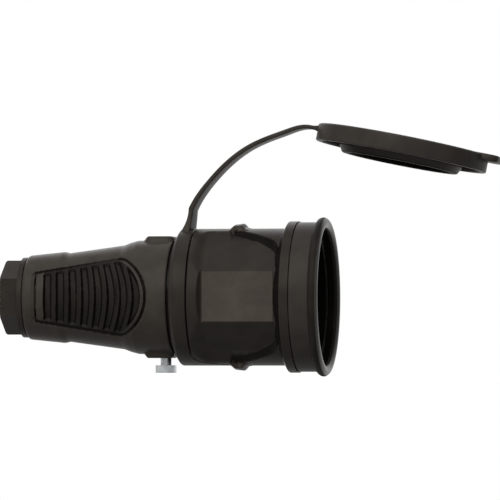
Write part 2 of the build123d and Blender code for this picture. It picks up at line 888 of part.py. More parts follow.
def contact(y):
    """A brass contact with its pin socket to the front and its wire hole to the rear."""
    with BuildPart() as piece:
        add(block(x_terminal_rear, x_insert_rear, terminal_half, -terminal_half, terminal_half, y))
        add(rod(x_insert_rear, x_socket_end, sleeve_radius, y))
        add(rod(x_socket_end - socket_depth, x_socket_end, socket_radius, y), mode=Mode.SUBTRACT)
        slit_half = socket_slit / 2
        add(
            block(x_socket_end - socket_depth, x_socket_end, slit_half, -sleeve_radius, sleeve_radius, y),
            mode=Mode.SUBTRACT,
        )
        add(rod(x_terminal_rear, x_terminal_rear + wire_hole_depth, wire_hole_radius, y), mode=Mode.SUBTRACT)
        with BuildSketch(Plane.XY):
            with Locations((x_terminal_screw, y)):
                Circle(terminal_screw_radius)
        extrude(amount=terminal_half, mode=Mode.SUBTRACT)
    return piece.part


def slotted_screw(x, y, z_seat, reach, radius, head_radius, head_height):
    """A cheese-head screw standing on z_seat, with its shank reaching down."""
    with BuildPart() as screw:
        with BuildSketch(Plane.XY.offset(z_seat - reach)):
            with Locations((x, y)):
                Circle(radius)
        extrude(amount=reach)
        with BuildSketch(Plane.XY.offset(z_seat)):
            with Locations((x, y)):
                Circle(head_radius)
        extrude(amount=head_height)
        with BuildSketch(Plane.XY.offset(z_seat + head_height)):
            with Locations((x, y)):
                Rectangle(driver_slot, 2 * head_radius)
        extrude(amount=-driver_slot_depth, mode=Mode.SUBTRACT)
    return screw.part


def terminal_screw(y, z_seat):
    """The screw that presses a wire in a terminal block whose top is at z_seat."""
    return slotted_screw(
        x_terminal_screw,
        y,
        z_seat,
        terminal_screw_reach,
        terminal_screw_radius,
        terminal_head_radius,
        terminal_head_height,
    )


with BuildPart() as line_contact:
    add(contact(-pin_side))
line_contact.part.label = "line_contact"
export_step(line_contact.part, "parts/line_contact.step")

with BuildPart() as neutral_contact:
    add(contact(pin_side))
neutral_contact.part.label = "neutral_contact"
export_step(neutral_contact.part, "parts/neutral_contact.step")

with BuildPart() as line_terminal_screw:
    add(terminal_screw(-pin_side, terminal_half))
line_terminal_screw.part.label = "line_terminal_screw"
export_step(line_terminal_screw.part, "parts/line_terminal_screw.step")

with BuildPart() as neutral_terminal_screw:
    add(terminal_screw(pin_side, terminal_half))
neutral_terminal_screw.part.label = "neutral_terminal_screw"
export_step(neutral_terminal_screw.part, "parts/neutral_terminal_screw.step")

# Earth clip: one folded strip, bridged behind the insert, with a sprung arm above and below
x_clip_rear = x_insert_rear - clip_room
x_clip_front = x_floor + clip_reach
with BuildPart() as earth_clip:
    with BuildSketch(Plane.XZ):
        with BuildLine():
            inner = [
                (x_clip_rear + clip_thickness, 0),
                (x_clip_rear + clip_thickness, clip_height - clip_thickness),
                (x_floor, clip_height - clip_thickness),
                (x_floor + clip_bulge_reach, clip_height - clip_thickness - clip_bulge),
                (x_clip_front, clip_height - clip_thickness + clip_tip_lift),
            ]
            outer = [
                (x_clip_front, clip_height + clip_tip_lift),
                (x_floor + clip_bulge_reach, clip_height - clip_bulge),
                (x_floor, clip_height),
                (x_clip_rear, clip_height),
                (x_clip_rear, 0),
            ]
            Polyline(*inner, *outer, close=True)
        make_face()
        mirror(about=Plane.XZ)
    extrude(amount=clip_width / 2, both=True)
earth_clip.part.label = "earth_clip"
export_step(earth_clip.part, "parts/earth_clip.step")

# Earth terminal block, set on the back of the clip, and its screw
with BuildPart() as earth_terminal:
    z_earth = (earth_terminal_z - terminal_half, earth_terminal_z + terminal_half)
    add(block(x_terminal_rear, x_clip_rear, terminal_half, *z_earth))
    x_wire_end = x_terminal_rear + wire_hole_depth
    add(rod(x_terminal_rear, x_wire_end, wire_hole_radius, 0, earth_terminal_z), mode=Mode.SUBTRACT)
    with BuildSketch(Plane.XY.offset(earth_terminal_z)):
        with Locations((x_terminal_screw, 0)):
            Circle(terminal_screw_radius)
    extrude(amount=terminal_half, mode=Mode.SUBTRACT)
earth_terminal.part.label = "earth_terminal"
export_step(earth_terminal.part, "parts/earth_terminal.step")

with BuildPart() as earth_terminal_screw:
    add(terminal_screw(0, earth_terminal_z + terminal_half))
earth_terminal_screw.part.label = "earth_terminal_screw"
export_step(earth_terminal_screw.part, "parts/earth_terminal_screw.step")

# Cord clamp: arched bar over the cable's place, held to the carrier's tail by two screws
z_clamp_low = tail_top_z + clamp_gap
z_clamp_high = z_clamp_low + clamp_thickness
with BuildPart() as cord_clamp:
    x_clamp_rear = x_clamp - clamp_length / 2
    x_clamp_front = x_clamp + clamp_length / 2
    add(block(x_clamp_rear, x_clamp_front, tail_half_width, z_clamp_low, z_clamp_high))
    z_arch = z_clamp_low - clamp_arch_radius + clamp_thickness / 2
    add(rod(x_clamp_rear, x_clamp_front, clamp_arch_radius, 0, z_arch), mode=Mode.SUBTRACT)
    with BuildSketch(Plane.XY.offset(z_clamp_low)):
        for side in (-1, 1):
            with Locations((x_clamp, side * clamp_screw_y)):
                Circle(clamp_screw_radius + slip)
    extrude(amount=clamp_thickness, mode=Mode.SUBTRACT)
cord_clamp.part.label = "cord_clamp"
export_step(cord_clamp.part, "parts/cord_clamp.step")

clamp_reach = z_clamp_high - z_tail_low + clamp_screw_past
with BuildPart() as cord_clamp_screws:
    for side in (-1, 1):
        add(
            slotted_screw(
                x_clamp,
                side * clamp_screw_y,
                z_clamp_high,
                clamp_reach,
                clamp_screw_radius,
                clamp_head_radius,
                clamp_head_height,
            )
        )
cord_clamp_screws.part.label = "cord_clamp_screws"
export_step(cord_clamp_screws.part, "parts/cord_clamp_screws.step")
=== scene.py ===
import json
import math

import bmesh
import bpy
import numpy as np
from mathutils import Matrix, Vector


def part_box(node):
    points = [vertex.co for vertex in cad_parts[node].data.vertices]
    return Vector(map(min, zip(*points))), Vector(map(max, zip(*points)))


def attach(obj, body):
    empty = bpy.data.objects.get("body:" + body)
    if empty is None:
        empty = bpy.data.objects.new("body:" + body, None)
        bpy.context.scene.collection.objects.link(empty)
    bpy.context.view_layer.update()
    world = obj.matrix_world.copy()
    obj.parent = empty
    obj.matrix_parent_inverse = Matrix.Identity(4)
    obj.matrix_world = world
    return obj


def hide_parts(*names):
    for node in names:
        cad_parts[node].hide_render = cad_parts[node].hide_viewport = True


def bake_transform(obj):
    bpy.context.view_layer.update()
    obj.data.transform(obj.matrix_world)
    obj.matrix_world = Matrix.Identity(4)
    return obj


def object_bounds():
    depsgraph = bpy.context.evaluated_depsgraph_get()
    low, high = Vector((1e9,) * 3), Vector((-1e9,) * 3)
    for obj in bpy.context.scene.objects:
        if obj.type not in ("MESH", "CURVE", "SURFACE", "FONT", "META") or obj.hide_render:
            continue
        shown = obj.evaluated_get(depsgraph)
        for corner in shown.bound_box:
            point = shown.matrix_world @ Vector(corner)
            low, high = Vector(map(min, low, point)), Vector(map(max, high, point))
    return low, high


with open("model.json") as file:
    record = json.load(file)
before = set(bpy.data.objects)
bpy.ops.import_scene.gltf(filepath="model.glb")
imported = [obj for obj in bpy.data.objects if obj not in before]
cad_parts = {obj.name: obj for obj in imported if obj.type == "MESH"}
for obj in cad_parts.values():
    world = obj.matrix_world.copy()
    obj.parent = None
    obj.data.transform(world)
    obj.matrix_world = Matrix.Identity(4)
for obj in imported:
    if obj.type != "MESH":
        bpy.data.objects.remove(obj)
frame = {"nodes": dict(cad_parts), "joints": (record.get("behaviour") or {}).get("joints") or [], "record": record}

cad_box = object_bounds()

# Sizes below are in millimetres and angles in degrees, in the part's own frame: X runs from the
# cable entry to the mouth, +Z is the strap's side and the camera stands on the -Y side.
MM = 0.001


def span(node):
    """The lower and upper corner of a solid's box."""
    low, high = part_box(node)
    return low / MM, high / MM


def hinge(name):
    """The (x, z) place of a joint's axis."""
    place = next(joint["pos_m"] for joint in frame["joints"] if joint["name"] == name)
    return place[0] / MM, place[2] / MM


nut_high = span("gland_nut")[1]
shell_low, shell_high = span("handle_shell")
ring_low, ring_high = span("cap_ring")
sleeve_low, sleeve_high = span("front_sleeve")
mouth_low, mouth_high = span("mouth_ring")
PARTING_GAP = 0.15
PARTING_ROUND = 0.35
HAIR = 0.01

# Handle skin
HANDLE_REAR = nut_high.x + 0.2
HANDLE_FRONT = ring_low.x - 0.75
HANDLE_REAR_RADIUS = 15.5
HANDLE_REAR_ROUND = 1.4
BAND_END = HANDLE_REAR + 13.25
BAND_RADIUS = 16.7
BAND_STEP = 0.4
BAND_STEP_LENGTH = 2.4
NECK_END = HANDLE_REAR + 35.85
NECK_RADIUS = 19.05
FLARE_END = NECK_END + 5.4
FLARE_RADIUS = 20.75
FLARE_SWELL = 0.18
HANDLE_FRONT_RADIUS = 21.2
HANDLE_FRONT_ROUND = 0.6
SPIGOT_RADIUS = 20.6
SPIGOT_END = shell_high.x
SPIGOT_STEP = 0.2
SEAT_GROOVE = 0.9
HANDLE_INSIDE = SPIGOT_RADIUS - 2.2
CAVITY_REAR = 16.0
CAVITY_REAR_RADIUS = 12.1
CABLE_HOLE = 6.9
GLAND_BORE = 8.25
GLAND_STEP = 14.0
THREAD_END = shell_low.x
THREAD_RADIUS = 10.8
SKIN_PITCH = 0.25
HANDLE_COLUMNS = 384

# Grip panel on each side of the handle
PANEL_REAR = HANDLE_REAR + 3.4
PANEL_FRONT = HANDLE_REAR + 37.35
PANEL_REAR_HALF = 9.0
PANEL_FRONT_HALF = 14.5
PANEL_BULGE = 10.1
PANEL_REAR_ROUND = 2.0
PANEL_FRONT_ROUND = 1.2
PANEL_LINE_IN = 0.45
PANEL_LINE_HALF = 0.48
PANEL_LINE_DEPTH = 0.75
PANEL_LINE_FADE = 1.2
PANEL_BORDER = 1.45
PANEL_LEAST_RADIUS = BAND_RADIUS - 3.0
FRONT_BORDER_EXTRA = 1.0
FIELD_REAR = HANDLE_REAR + 5.05
RIB_COUNT = 8
RIB_FIRST = HANDLE_REAR + 6.25
RIB_PITCH = 4.84
RIB_WIDTH = 2.4
FIRST_RIB_EXTRA = 0.85
RIB_BOW = 0.65
RIB_TALL = 15.1
RIB_RAMP = 0.36
RIB_SLANT = 0.65
RIB_WALL_FACING = 0.55
GROOVE_DEPTH = 1.4
GAP_SHADE = 0.1

# Flat pads on top of the handle and under it
PAD_HEIGHT = 22.25
PAD_LENGTH = 10.5
PAD_WIDTH = 12.0
PAD_ROUND = 2.5
PAD_RAMP = 1.0
PAD_LEAST_SINE = 0.5

# Cap ring and its tongue
BODY_RADIUS = ring_high.y
RING_REAR = ring_low.x + 0.6
RING_FRONT = sleeve_low.x - PARTING_GAP
RING_CHAMFER = 1.5
RING_REAR_RADIUS = 22.6
RING_REAR_ROUND = 0.5
RING_SHOULDER_ROUND = 0.9
RING_BORE = 20.7
RING_COLUMNS = 192
TONGUE_TIP = ring_high.x
TONGUE_ROOT_HALF = 9.0
TONGUE_TIP_HALF = 4.2
TONGUE_FLARE = 5.0
TONGUE_CORNER = 1.0
TONGUE_THICKNESS = 2.0
TONGUE_LAP = 1.0
TONGUE_RIM = 0.35
TONGUE_RIM_SHARE = 0.1
TONGUE_GAP = 0.2
NOTCH_RAMP = 0.2

# Front sleeve
SLEEVE_REAR = sleeve_low.x
PARTING = mouth_low.x - PARTING_GAP
GRIP_FLAT = 22.45
FLAT_START = SLEEVE_REAR + 5.4
FLAT_RUN_OUT = 2.5
FLAT_FACING = 0.985
FLAT_LEAST_COSINE = 0.3
FACET_START = SLEEVE_REAR + 6.2
FACET_RUN_OUT = 7.0
RUN_OUT_LIFT = 1.4
COLLAR = PARTING - 3.2
COLLAR_REAR = COLLAR - 3.0
COLLAR_RADIUS = 27.6
LUG_REAR = COLLAR - 21.85
LUG_LENGTH = 7.8
LUG_RISE = 1.85
LUG_SHOULDER = 1.5
LUG_FOOT = 0.4
LUG_RAMP = 1.8
LUG_FALL = 1.2
LUG_RUN_OUT = 1.9
LUG_ANGLE = 15.0
LUG_SIDE_ANGLE = 1.0
WALL_TIP_HALF = 5.0
WALL_LEAN = 28.6
WALL_CORNER = 3.5
WALL_DRAFT = 1.2
FLANK_FROM = 30.0
FLANK_STEP = 2.0
FLANK_STEP_FROM = 48.0
FLANK_STEP_FULL = 62.0
FLANK_RUN_IN = 2.6
FLANK_FACING = 0.8
FLANK_MOST_FORWARD = 0.2
SLOPE_SHARE = (BODY_RADIUS - GRIP_FLAT) / (COLLAR_RADIUS - GRIP_FLAT)
SLOPE_TOP = COLLAR_REAR + (COLLAR - COLLAR_REAR) * SLOPE_SHARE
EDGE_ROUND = 0.25
FACET_ROUND = 0.9
NECK_WALL_RADIUS = 24.0
RIM = sleeve_high.x
RIM_CHAMFER = 0.4
RECESS_RADIUS = 19.5
RECESS_FLOOR = RIM - 17.5
SLEEVE_BORE = 20.7
SLEEVE_WALL_FROM = SLEEVE_BORE + 1.0
GUIDE_HEIGHT = 2.2
GUIDE_HALF_WIDTH = 2.5
GUIDE_SIDE = 0.25
GUIDE_RAMP = 0.2
GUIDE_WALL_REACH = 0.2
GUIDE_FRONT = RIM - 2.0
SLEEVE_COLUMNS = 576

# Mouth ring
MOUTH_REAR = mouth_low.x
MOUTH_RADIUS = 27.25
MOUTH_SEAT_GAP = 0.1
MOUTH_REAR_DROP = 0.25
MOUTH_REAR_RUN = 0.2
BEAD_X = mouth_high.x - 2.1
BEAD_RING_RADIUS = 26.9
BEAD_RADIUS = 2.1
BEAD_HALF_LENGTH = 1.9
BEAD_STEPS = 40
LIP_REAR = mouth_high.x - 4.6
LIP_CHAMFER = 0.3
LAND_RADIUS = 23.0
LAND_REAR = mouth_high.x - 8.6
LIP_FACING = 0.6
LIP_COLUMNS = 256

# Strap
BEND = hinge("strap_bend")
BEND_SLOPE = 66.0
STRAP_RISES = ((8.7, 12.3), (19.7, 21.7), (32.8, 27.4))
STRAP_PITCH = 0.6
FILM = hinge("cap_flex")
STRAP_HALF_WIDTH = 5.3
STRAP_CORNER = 0.55
STRAP_CORNER_SHARE = 0.8
ROOT_HALF_WIDTH = 8.0
ROOT_SINK = 2.5
ROOT_REAR = 0.8
ROOT_FRONT = 2.05
ROOT_ROWS = 21
ROOT_BACK_CURVE = 2.0
ROOT_FRONT_CURVE = 1.3
ROOT_LEAN_CURVE = 1.5
ROOT_WIDTH_CURVE = 1.6
STRAP_ROOT_THICKNESS = 1.9
STRAP_THICKNESS = 1.6
STRAP_EVEN_FROM, STRAP_EVEN_TO = 0.22, 0.8
FILM_THICKNESS = 1.4
FILM_REACH = 2.6
FILM_OVERLAP = 0.5
FILM_GROWTH = 0.7
FILM_ROWS = 8

# Cap
CAP_TILT = 11.0
CAP_ROLL = 2.0
SKIRT_INNER = 29.4
CAP_RADIUS = SKIRT_INNER + 2.1
FILM_HEIGHT = 4.5
CAP_HEIGHT = 6.4
CAP_EDGE_ROUND = 0.8
CAP_CROWN = 1.0
CAP_PLATE_UNDER = 3.5
PLUG_BASE = 22.6
PLUG_TIP = 21.3
PLUG_DROP = 2.4
PLUG_WALL = 2.3
PLUG_RIM = 0.6
PLUG_INSIDE = PLUG_TIP - 0.4
PLUG_INSIDE_TOP = CAP_PLATE_UNDER + 0.1
CAP_COLUMNS = 256
AXIS_HOLE = 0.02
TAB_REACH = 4.6
TAB_ROOT = 2.0
TAB_HALF_WIDTH = 9.0
TAB_THICKNESS = 2.4
TAB_PROUD = 0.15
TAB_EDGE = 0.45
TAB_ROUND = 4.0


def smooth(low, high, value):
    """A soft step from 0 at low to 1 at high; low may be the greater."""
    t = np.clip((value - low) / (high - low), 0.0, 1.0)
    return t * t * (3.0 - 2.0 * t)


def soft_min(a, b, round_off):
    """The lesser of two heights, with the corner between them rounded off."""
    h = np.clip(0.5 + 0.5 * (b - a) / round_off, 0.0, 1.0)
    return b * (1.0 - h) + a * h - round_off * h * (1.0 - h)


def soft_max(a, b, round_off):
    return -soft_min(-a, -b, round_off)


def rounded(corners, steps=5):
    """A closed outline through (x, r, rounding) corners, each rounded by an arc of that radius."""
    points = []
    count = len(corners)
    for i, (x, r, rounding) in enumerate(corners):
        here = np.array((x, r), float)
        if not rounding:
            points.append(here)
            continue
        before = np.array(corners[i - 1][:2], float) - here
        after = np.array(corners[(i + 1) % count][:2], float) - here
        before /= np.linalg.norm(before)
        after /= np.linalg.norm(after)
        half = math.acos(np.clip(before @ after, -1.0, 1.0)) / 2.0
        start = here + before * rounding / math.tan(half)
        bisector = (before + after) / np.linalg.norm(before + after)
        middle = here + bisector * rounding / math.sin(half)
        spoke = start - middle
        sweep = math.pi - 2.0 * half
        turn = 1.0 if before[0] * after[1] - before[1] * after[0] < 0 else -1.0
        for step in range(steps + 1):
            angle = turn * sweep * step / steps
            c, s = math.cos(angle), math.sin(angle)
            turned_spoke = (c * spoke[0] - s * spoke[1], s * spoke[0] + c * spoke[1])
            points.append(middle + np.array(turned_spoke))
    return points


def refined(points, pitch):
    """The same open run of points, with none further apart than pitch."""
    fine = [np.array(points[0], float)]
    for point in points[1:]:
        start, end = fine[-1], np.array(point, float)
        cuts = max(1, math.ceil(np.linalg.norm(end - start) / pitch))
        fine.extend(start + (end - start) * k / cuts for k in range(1, cuts + 1))
    return fine


def add_mesh(name, vertices, faces, sharp_angle=38.0, merge=0.002):
    """A smooth-shaded mesh object, from points in millimetres, with its faces turned outwards."""
    mesh = bpy.data.meshes.new(name)
    mesh.from_pydata((np.asarray(vertices) * MM).tolist(), [], faces)
    shape = bmesh.new()
    shape.from_mesh(mesh)
    bmesh.ops.remove_doubles(shape, verts=shape.verts, dist=merge * MM)
    bmesh.ops.recalc_face_normals(shape, faces=shape.faces)
    shape.to_mesh(mesh)
    shape.free()
    mesh.shade_smooth()
    mesh.set_sharp_from_angle(angle=math.radians(sharp_angle))
    piece = bpy.data.objects.new(name, mesh)
    bpy.context.scene.collection.objects.link(piece)
    return piece


def turned(name, outline, columns, relief=None, place=None):
    """A shell turned about X from a closed (x, r) outline. relief(x, angle, r) moulds its radius;
    the angle is 0 on the camera's side and 90 degrees on top. place is a 4x4 for another axis."""
    section = np.array(outline, float)
    angles = np.linspace(0.0, 2.0 * math.pi, columns, endpoint=False)
    x, angle = np.meshgrid(section[:, 0], angles, indexing="ij")
    r = np.repeat(section[:, 1:], columns, axis=1)
    if relief:
        r = relief(x, angle, r)
    points = np.stack((x, -r * np.cos(angle), r * np.sin(angle)), axis=-1).reshape(-1, 3)
    if place is not None:
        turn = np.array(place)
        points = points @ turn[:3, :3].T + turn[:3, 3]
    rows = len(section)
    faces = []
    for i in range(rows):
        here, there = i * columns, (i + 1) % rows * columns
        for j in range(columns):
            n = (j + 1) % columns
            faces.append((here + j, here + n, there + n, there + j))
    return add_mesh(name, points, faces)


def panel_depth(x, z):
    """How far a point of the handle's side lies inside the grip panel's outline."""
    straight = PANEL_FRONT - PANEL_REAR
    widening = PANEL_FRONT_HALF - PANEL_REAR_HALF
    half = PANEL_REAR_HALF + (x - PANEL_REAR) / straight * widening
    side = (half - np.abs(z)) * straight / math.hypot(straight, widening)
    arc_radius = (PANEL_FRONT_HALF ** 2 + PANEL_BULGE ** 2) / (2.0 * PANEL_BULGE)
    ahead = np.maximum(x - (PANEL_FRONT + PANEL_BULGE - arc_radius), 0.0)
    front = arc_radius - np.hypot(ahead, z)
    return soft_min(soft_min(side, x - PANEL_REAR, PANEL_REAR_ROUND), front, PANEL_FRONT_ROUND)


def field_depth(x, z):
    """The same for the sunk field that the ribs stand in, with its own rear and front ends."""
    return np.minimum(panel_depth(x + FRONT_BORDER_EXTRA, z), x - FIELD_REAR + PANEL_BORDER)


def handle_relief(x, angle, r):
    """Grip panels with an engraved outline and bowed ribs, and the two flat pads."""
    y, z = -r * np.cos(angle), r * np.sin(angle)
    skin = r > HANDLE_REAR_RADIUS - HANDLE_REAR_ROUND
    from_line = (panel_depth(x, z) - PANEL_LINE_IN) / PANEL_LINE_HALF
    line = PANEL_LINE_DEPTH * np.exp(-(from_line ** 2))
    line *= smooth(PANEL_REAR, PANEL_REAR + PANEL_LINE_FADE, x)
    field = smooth(PANEL_BORDER - RIB_RAMP, PANEL_BORDER + RIB_RAMP, field_depth(x, z))
    cut = np.full_like(x, GROOVE_DEPTH)
    for index in range(RIB_COUNT):
        left = RIB_FIRST + index * RIB_PITCH - RIB_BOW * (index + 1) * (z / RIB_TALL) ** 2
        right = left + RIB_WIDTH
        left = left - (0.0 if index else FIRST_RIB_EXTRA)
        rib = smooth(left - RIB_RAMP, left + RIB_RAMP, x)
        rib -= smooth(right - RIB_RAMP, right + RIB_RAMP, x)
        slant = RIB_SLANT * np.clip((right - x) / RIB_WIDTH, 0.0, 1.0) ** 2 if index else 0.0
        cut = cut - rib * (GROOVE_DEPTH - slant)
    beside = skin & (np.abs(y) > CABLE_HOLE) & (x < HANDLE_FRONT - HANDLE_FRONT_ROUND)
    shaped = np.where(beside, r - line - field * cut, r)
    across = np.abs(y) - PAD_WIDTH / 2.0 + PAD_ROUND
    along = np.abs(x - HANDLE_FRONT + PAD_LENGTH / 2.0) - PAD_LENGTH / 2.0 + PAD_ROUND
    edge = np.hypot(np.maximum(across, 0.0), np.maximum(along, 0.0))
    edge += np.minimum(np.maximum(across, along), 0.0) - PAD_ROUND
    upright = np.abs(np.sin(angle))
    on_pad = smooth(PAD_RAMP, -PAD_RAMP, edge) * (upright > PAD_LEAST_SINE)
    top = PAD_HEIGHT / np.maximum(upright, PAD_LEAST_SINE)
    padded = shaped + on_pad * np.maximum(top - shaped, 0.0)
    return np.where(skin & (x <= HANDLE_FRONT), padded, shaped)


def handle_skin():
    rear_edge = [
        (
            HANDLE_REAR + HANDLE_REAR_ROUND * (1.0 - math.cos(turn)),
            HANDLE_REAR_RADIUS - HANDLE_REAR_ROUND * (1.0 - math.sin(turn)),
        )
        for turn in np.radians((18, 36, 54, 72, 90))
    ]
    band_step = [
        (
            BAND_END + BAND_STEP_LENGTH * share,
            BAND_RADIUS - BAND_STEP * float(smooth(0.0, 1.0, share)),
        )
        for share in np.linspace(0.15, 1.0, 8)
    ]
    front_edge = [
        (
            HANDLE_FRONT - HANDLE_FRONT_ROUND * (1.0 - math.sin(turn)),
            HANDLE_FRONT_RADIUS - HANDLE_FRONT_ROUND * (1.0 - math.cos(turn)),
        )
        for turn in np.radians((0, 22, 45, 68, 90))
    ]
    skin = [
        (HANDLE_REAR, HANDLE_REAR_RADIUS - HANDLE_REAR_ROUND),
        *rear_edge,
        (BAND_END, BAND_RADIUS),
        *band_step,
        (NECK_END, NECK_RADIUS),
        ((NECK_END + FLARE_END) / 2.0, (NECK_RADIUS + FLARE_RADIUS) / 2.0 + FLARE_SWELL),
        (FLARE_END, FLARE_RADIUS),
        *front_edge,
    ]
    inside = [
        (HANDLE_FRONT, SPIGOT_RADIUS - SEAT_GROOVE),
        (RING_REAR, SPIGOT_RADIUS - SEAT_GROOVE),
        (RING_REAR + SPIGOT_STEP, SPIGOT_RADIUS),
        (SPIGOT_END, SPIGOT_RADIUS),
        (SPIGOT_END, HANDLE_INSIDE),
        (FLARE_END, HANDLE_INSIDE),
        (CAVITY_REAR, CAVITY_REAR_RADIUS),
        (CAVITY_REAR, CABLE_HOLE),
        (GLAND_STEP, CABLE_HOLE),
        (GLAND_STEP, GLAND_BORE),
        (THREAD_END, GLAND_BORE),
        (THREAD_END, THREAD_RADIUS),
        (HANDLE_REAR, THREAD_RADIUS),
    ]
    outline = refined(skin, SKIN_PITCH) + inside
    return turned("handle_skin", outline, HANDLE_COLUMNS, handle_relief)


def wall_half(x):
    """Half the width of a standing tongue at x, rounded into the collar at its front end."""
    t = np.clip((x - (SLOPE_TOP - WALL_CORNER)) / WALL_CORNER, 0.0, 1.0)
    corner = WALL_CORNER * (1.0 - np.sqrt(1.0 - t * t))
    widening = math.tan(math.radians(WALL_LEAN))
    return WALL_TIP_HALF + np.maximum(x - LUG_REAR, 0.0) * widening + corner


def flank_radius(x, angle):
    """The leaning flank of a standing tongue, from its top edge down to the facet beside it."""
    top_y = wall_half(x) - WALL_DRAFT / 2.0
    top_z = np.sqrt(np.maximum(BODY_RADIUS ** 2 - top_y ** 2, 1.0))
    foot_z = math.sqrt(2.0) * GRIP_FLAT - top_y - WALL_DRAFT
    fall = np.minimum(foot_z - top_z, -2.0 * WALL_DRAFT)
    across = np.abs(np.cos(angle)) * fall - np.abs(np.sin(angle)) * WALL_DRAFT
    return (top_y * fall - top_z * WALL_DRAFT) / across


def tongue_half(x):
    """Half the width of the cap ring's tongue at x, flared at its root and round at its tip."""
    flare = np.clip(TONGUE_FLARE - (x - RING_FRONT), 0.0, TONGUE_FLARE)
    root = TONGUE_FLARE - np.sqrt(TONGUE_FLARE ** 2 - flare ** 2)
    run = np.clip((x - RING_FRONT) / (TONGUE_TIP - RING_FRONT), 0.0, 1.0)
    half = TONGUE_ROOT_HALF + (TONGUE_TIP_HALF - TONGUE_ROOT_HALF) * run + root
    corner = np.clip((x - TONGUE_TIP + TONGUE_CORNER) / TONGUE_CORNER, 0.0, 1.0)
    return half - TONGUE_CORNER * (1.0 - np.sqrt(1.0 - corner ** 2))


def cut_depth(x, begin, run_out):
    """How far from the axis a flat lies at x: clear of the body before its run-out."""
    lift = RUN_OUT_LIFT * (BODY_RADIUS - GRIP_FLAT)
    return GRIP_FLAT + lift * smooth(begin, begin - run_out, x)


def sleeve_relief(x, angle, r):
    """Flats, facets, tongues, lugs, the collar's slope, the notch for the cap ring's tongue, and
    the guide ribs in the recess. fold is the angle from the nearer side to the top or bottom."""
    skin = (r > NECK_WALL_RADIUS + RIM_CHAMFER) & (x < PARTING - HAIR)
    fold = np.degrees(np.arctan2(np.abs(np.sin(angle)), np.abs(np.cos(angle))))
    facet = cut_depth(x, FACET_START, FACET_RUN_OUT) / np.cos(np.radians(fold - 45.0))
    sideways = np.maximum(np.cos(np.radians(fold)), FLAT_LEAST_COSINE)
    side = cut_depth(x, FLAT_START, FLAT_RUN_OUT) / sideways

    tongue_top = np.full_like(x, BODY_RADIUS)
    beside_tongue = smooth(LUG_REAR, LUG_REAR + FLANK_RUN_IN, x)
    beside_tongue = beside_tongue * smooth(FLANK_STEP_FROM, FLANK_STEP_FULL, fold)
    round_body = tongue_top - FLANK_STEP * beside_tongue
    body = soft_min(soft_min(round_body, facet, FACET_ROUND), side, EDGE_ROUND)
    tongue = soft_min(tongue_top, flank_radius(x, angle), EDGE_ROUND)
    near_tongue = (x > LUG_REAR) & (fold > FLANK_FROM)
    body = np.where(near_tongue, soft_max(body, tongue, EDGE_ROUND / 2.0), body)

    fall_from = LUG_LENGTH - LUG_FALL - LUG_RUN_OUT
    lug_stations = (0.0, LUG_RAMP, fall_from, LUG_LENGTH - LUG_RUN_OUT, LUG_LENGTH)
    lug_heights = (0.0, LUG_SHOULDER, LUG_RISE, LUG_FOOT, 0.0)
    hump = np.interp(x - LUG_REAR, lug_stations, lug_heights, 0.0, 0.0)
    body += hump * smooth(LUG_ANGLE + LUG_SIDE_ANGLE, LUG_ANGLE - LUG_SIDE_ANGLE, 90.0 - fold)

    slope_radii = (GRIP_FLAT, COLLAR_RADIUS, COLLAR_RADIUS)
    slope = np.interp(x, (COLLAR_REAR, COLLAR, PARTING), slope_radii, 0.0)
    body = np.where(x > COLLAR_REAR, soft_max(body, slope, EDGE_ROUND), body)
    body -= PARTING_ROUND * smooth(SLEEVE_REAR + PARTING_ROUND, SLEEVE_REAR, x)

    past_side = np.abs(r * np.cos(angle)) - tongue_half(np.minimum(x, TONGUE_TIP))
    past_tip = x - TONGUE_TIP
    notch = smooth(TONGUE_GAP + NOTCH_RAMP, TONGUE_GAP, past_side)
    notch *= smooth(TONGUE_GAP + NOTCH_RAMP, TONGUE_GAP, past_tip) * (np.sin(angle) < 0)
    body -= notch * (TONGUE_THICKNESS + TONGUE_GAP)
    shaped = np.where(skin, body, r)

    on_wall = (np.abs(r - RECESS_RADIUS) < GUIDE_WALL_REACH) & (x > RECESS_FLOOR - HAIR)
    on_wall &= x < GUIDE_FRONT
    off_middle = np.abs(r * np.sin(angle))
    guide = smooth(GUIDE_HALF_WIDTH + GUIDE_SIDE, GUIDE_HALF_WIDTH - GUIDE_SIDE, off_middle)
    return np.where(on_wall, shaped - GUIDE_HEIGHT * guide, shaped)


def sleeve_skin():
    skin = refined([(SLEEVE_REAR, BODY_RADIUS), (PARTING, BODY_RADIUS)], SKIN_PITCH)
    front_edge = [(PARTING - 2.0 * HAIR, BODY_RADIUS), (PARTING, COLLAR_RADIUS - EDGE_ROUND)]
    skin[-1:] = [np.array(point) for point in front_edge]
    inside = [
        (PARTING, NECK_WALL_RADIUS),
        (RIM - RIM_CHAMFER, NECK_WALL_RADIUS),
        (RIM, NECK_WALL_RADIUS - RIM_CHAMFER),
        (RIM, RECESS_RADIUS + RIM_CHAMFER),
        (RIM - RIM_CHAMFER, RECESS_RADIUS),
        (GUIDE_FRONT + GUIDE_RAMP, RECESS_RADIUS),
        (GUIDE_FRONT - GUIDE_RAMP, RECESS_RADIUS),
        (RECESS_FLOOR, RECESS_RADIUS),
        (RECESS_FLOOR, SLEEVE_BORE),
        (SLEEVE_REAR, SLEEVE_BORE),
    ]
    return turned("sleeve_skin", skin + inside, SLEEVE_COLUMNS, sleeve_relief)


def ring_band():
    outline = rounded([
        (RING_REAR, RING_BORE, 0),
        (RING_REAR, RING_REAR_RADIUS, RING_REAR_ROUND),
        (RING_REAR + RING_CHAMFER, BODY_RADIUS, RING_SHOULDER_ROUND),
        (RING_FRONT, BODY_RADIUS, PARTING_ROUND),
        (RING_FRONT, RING_BORE, 0),
    ])
    return turned("ring_band", outline, RING_COLUMNS)


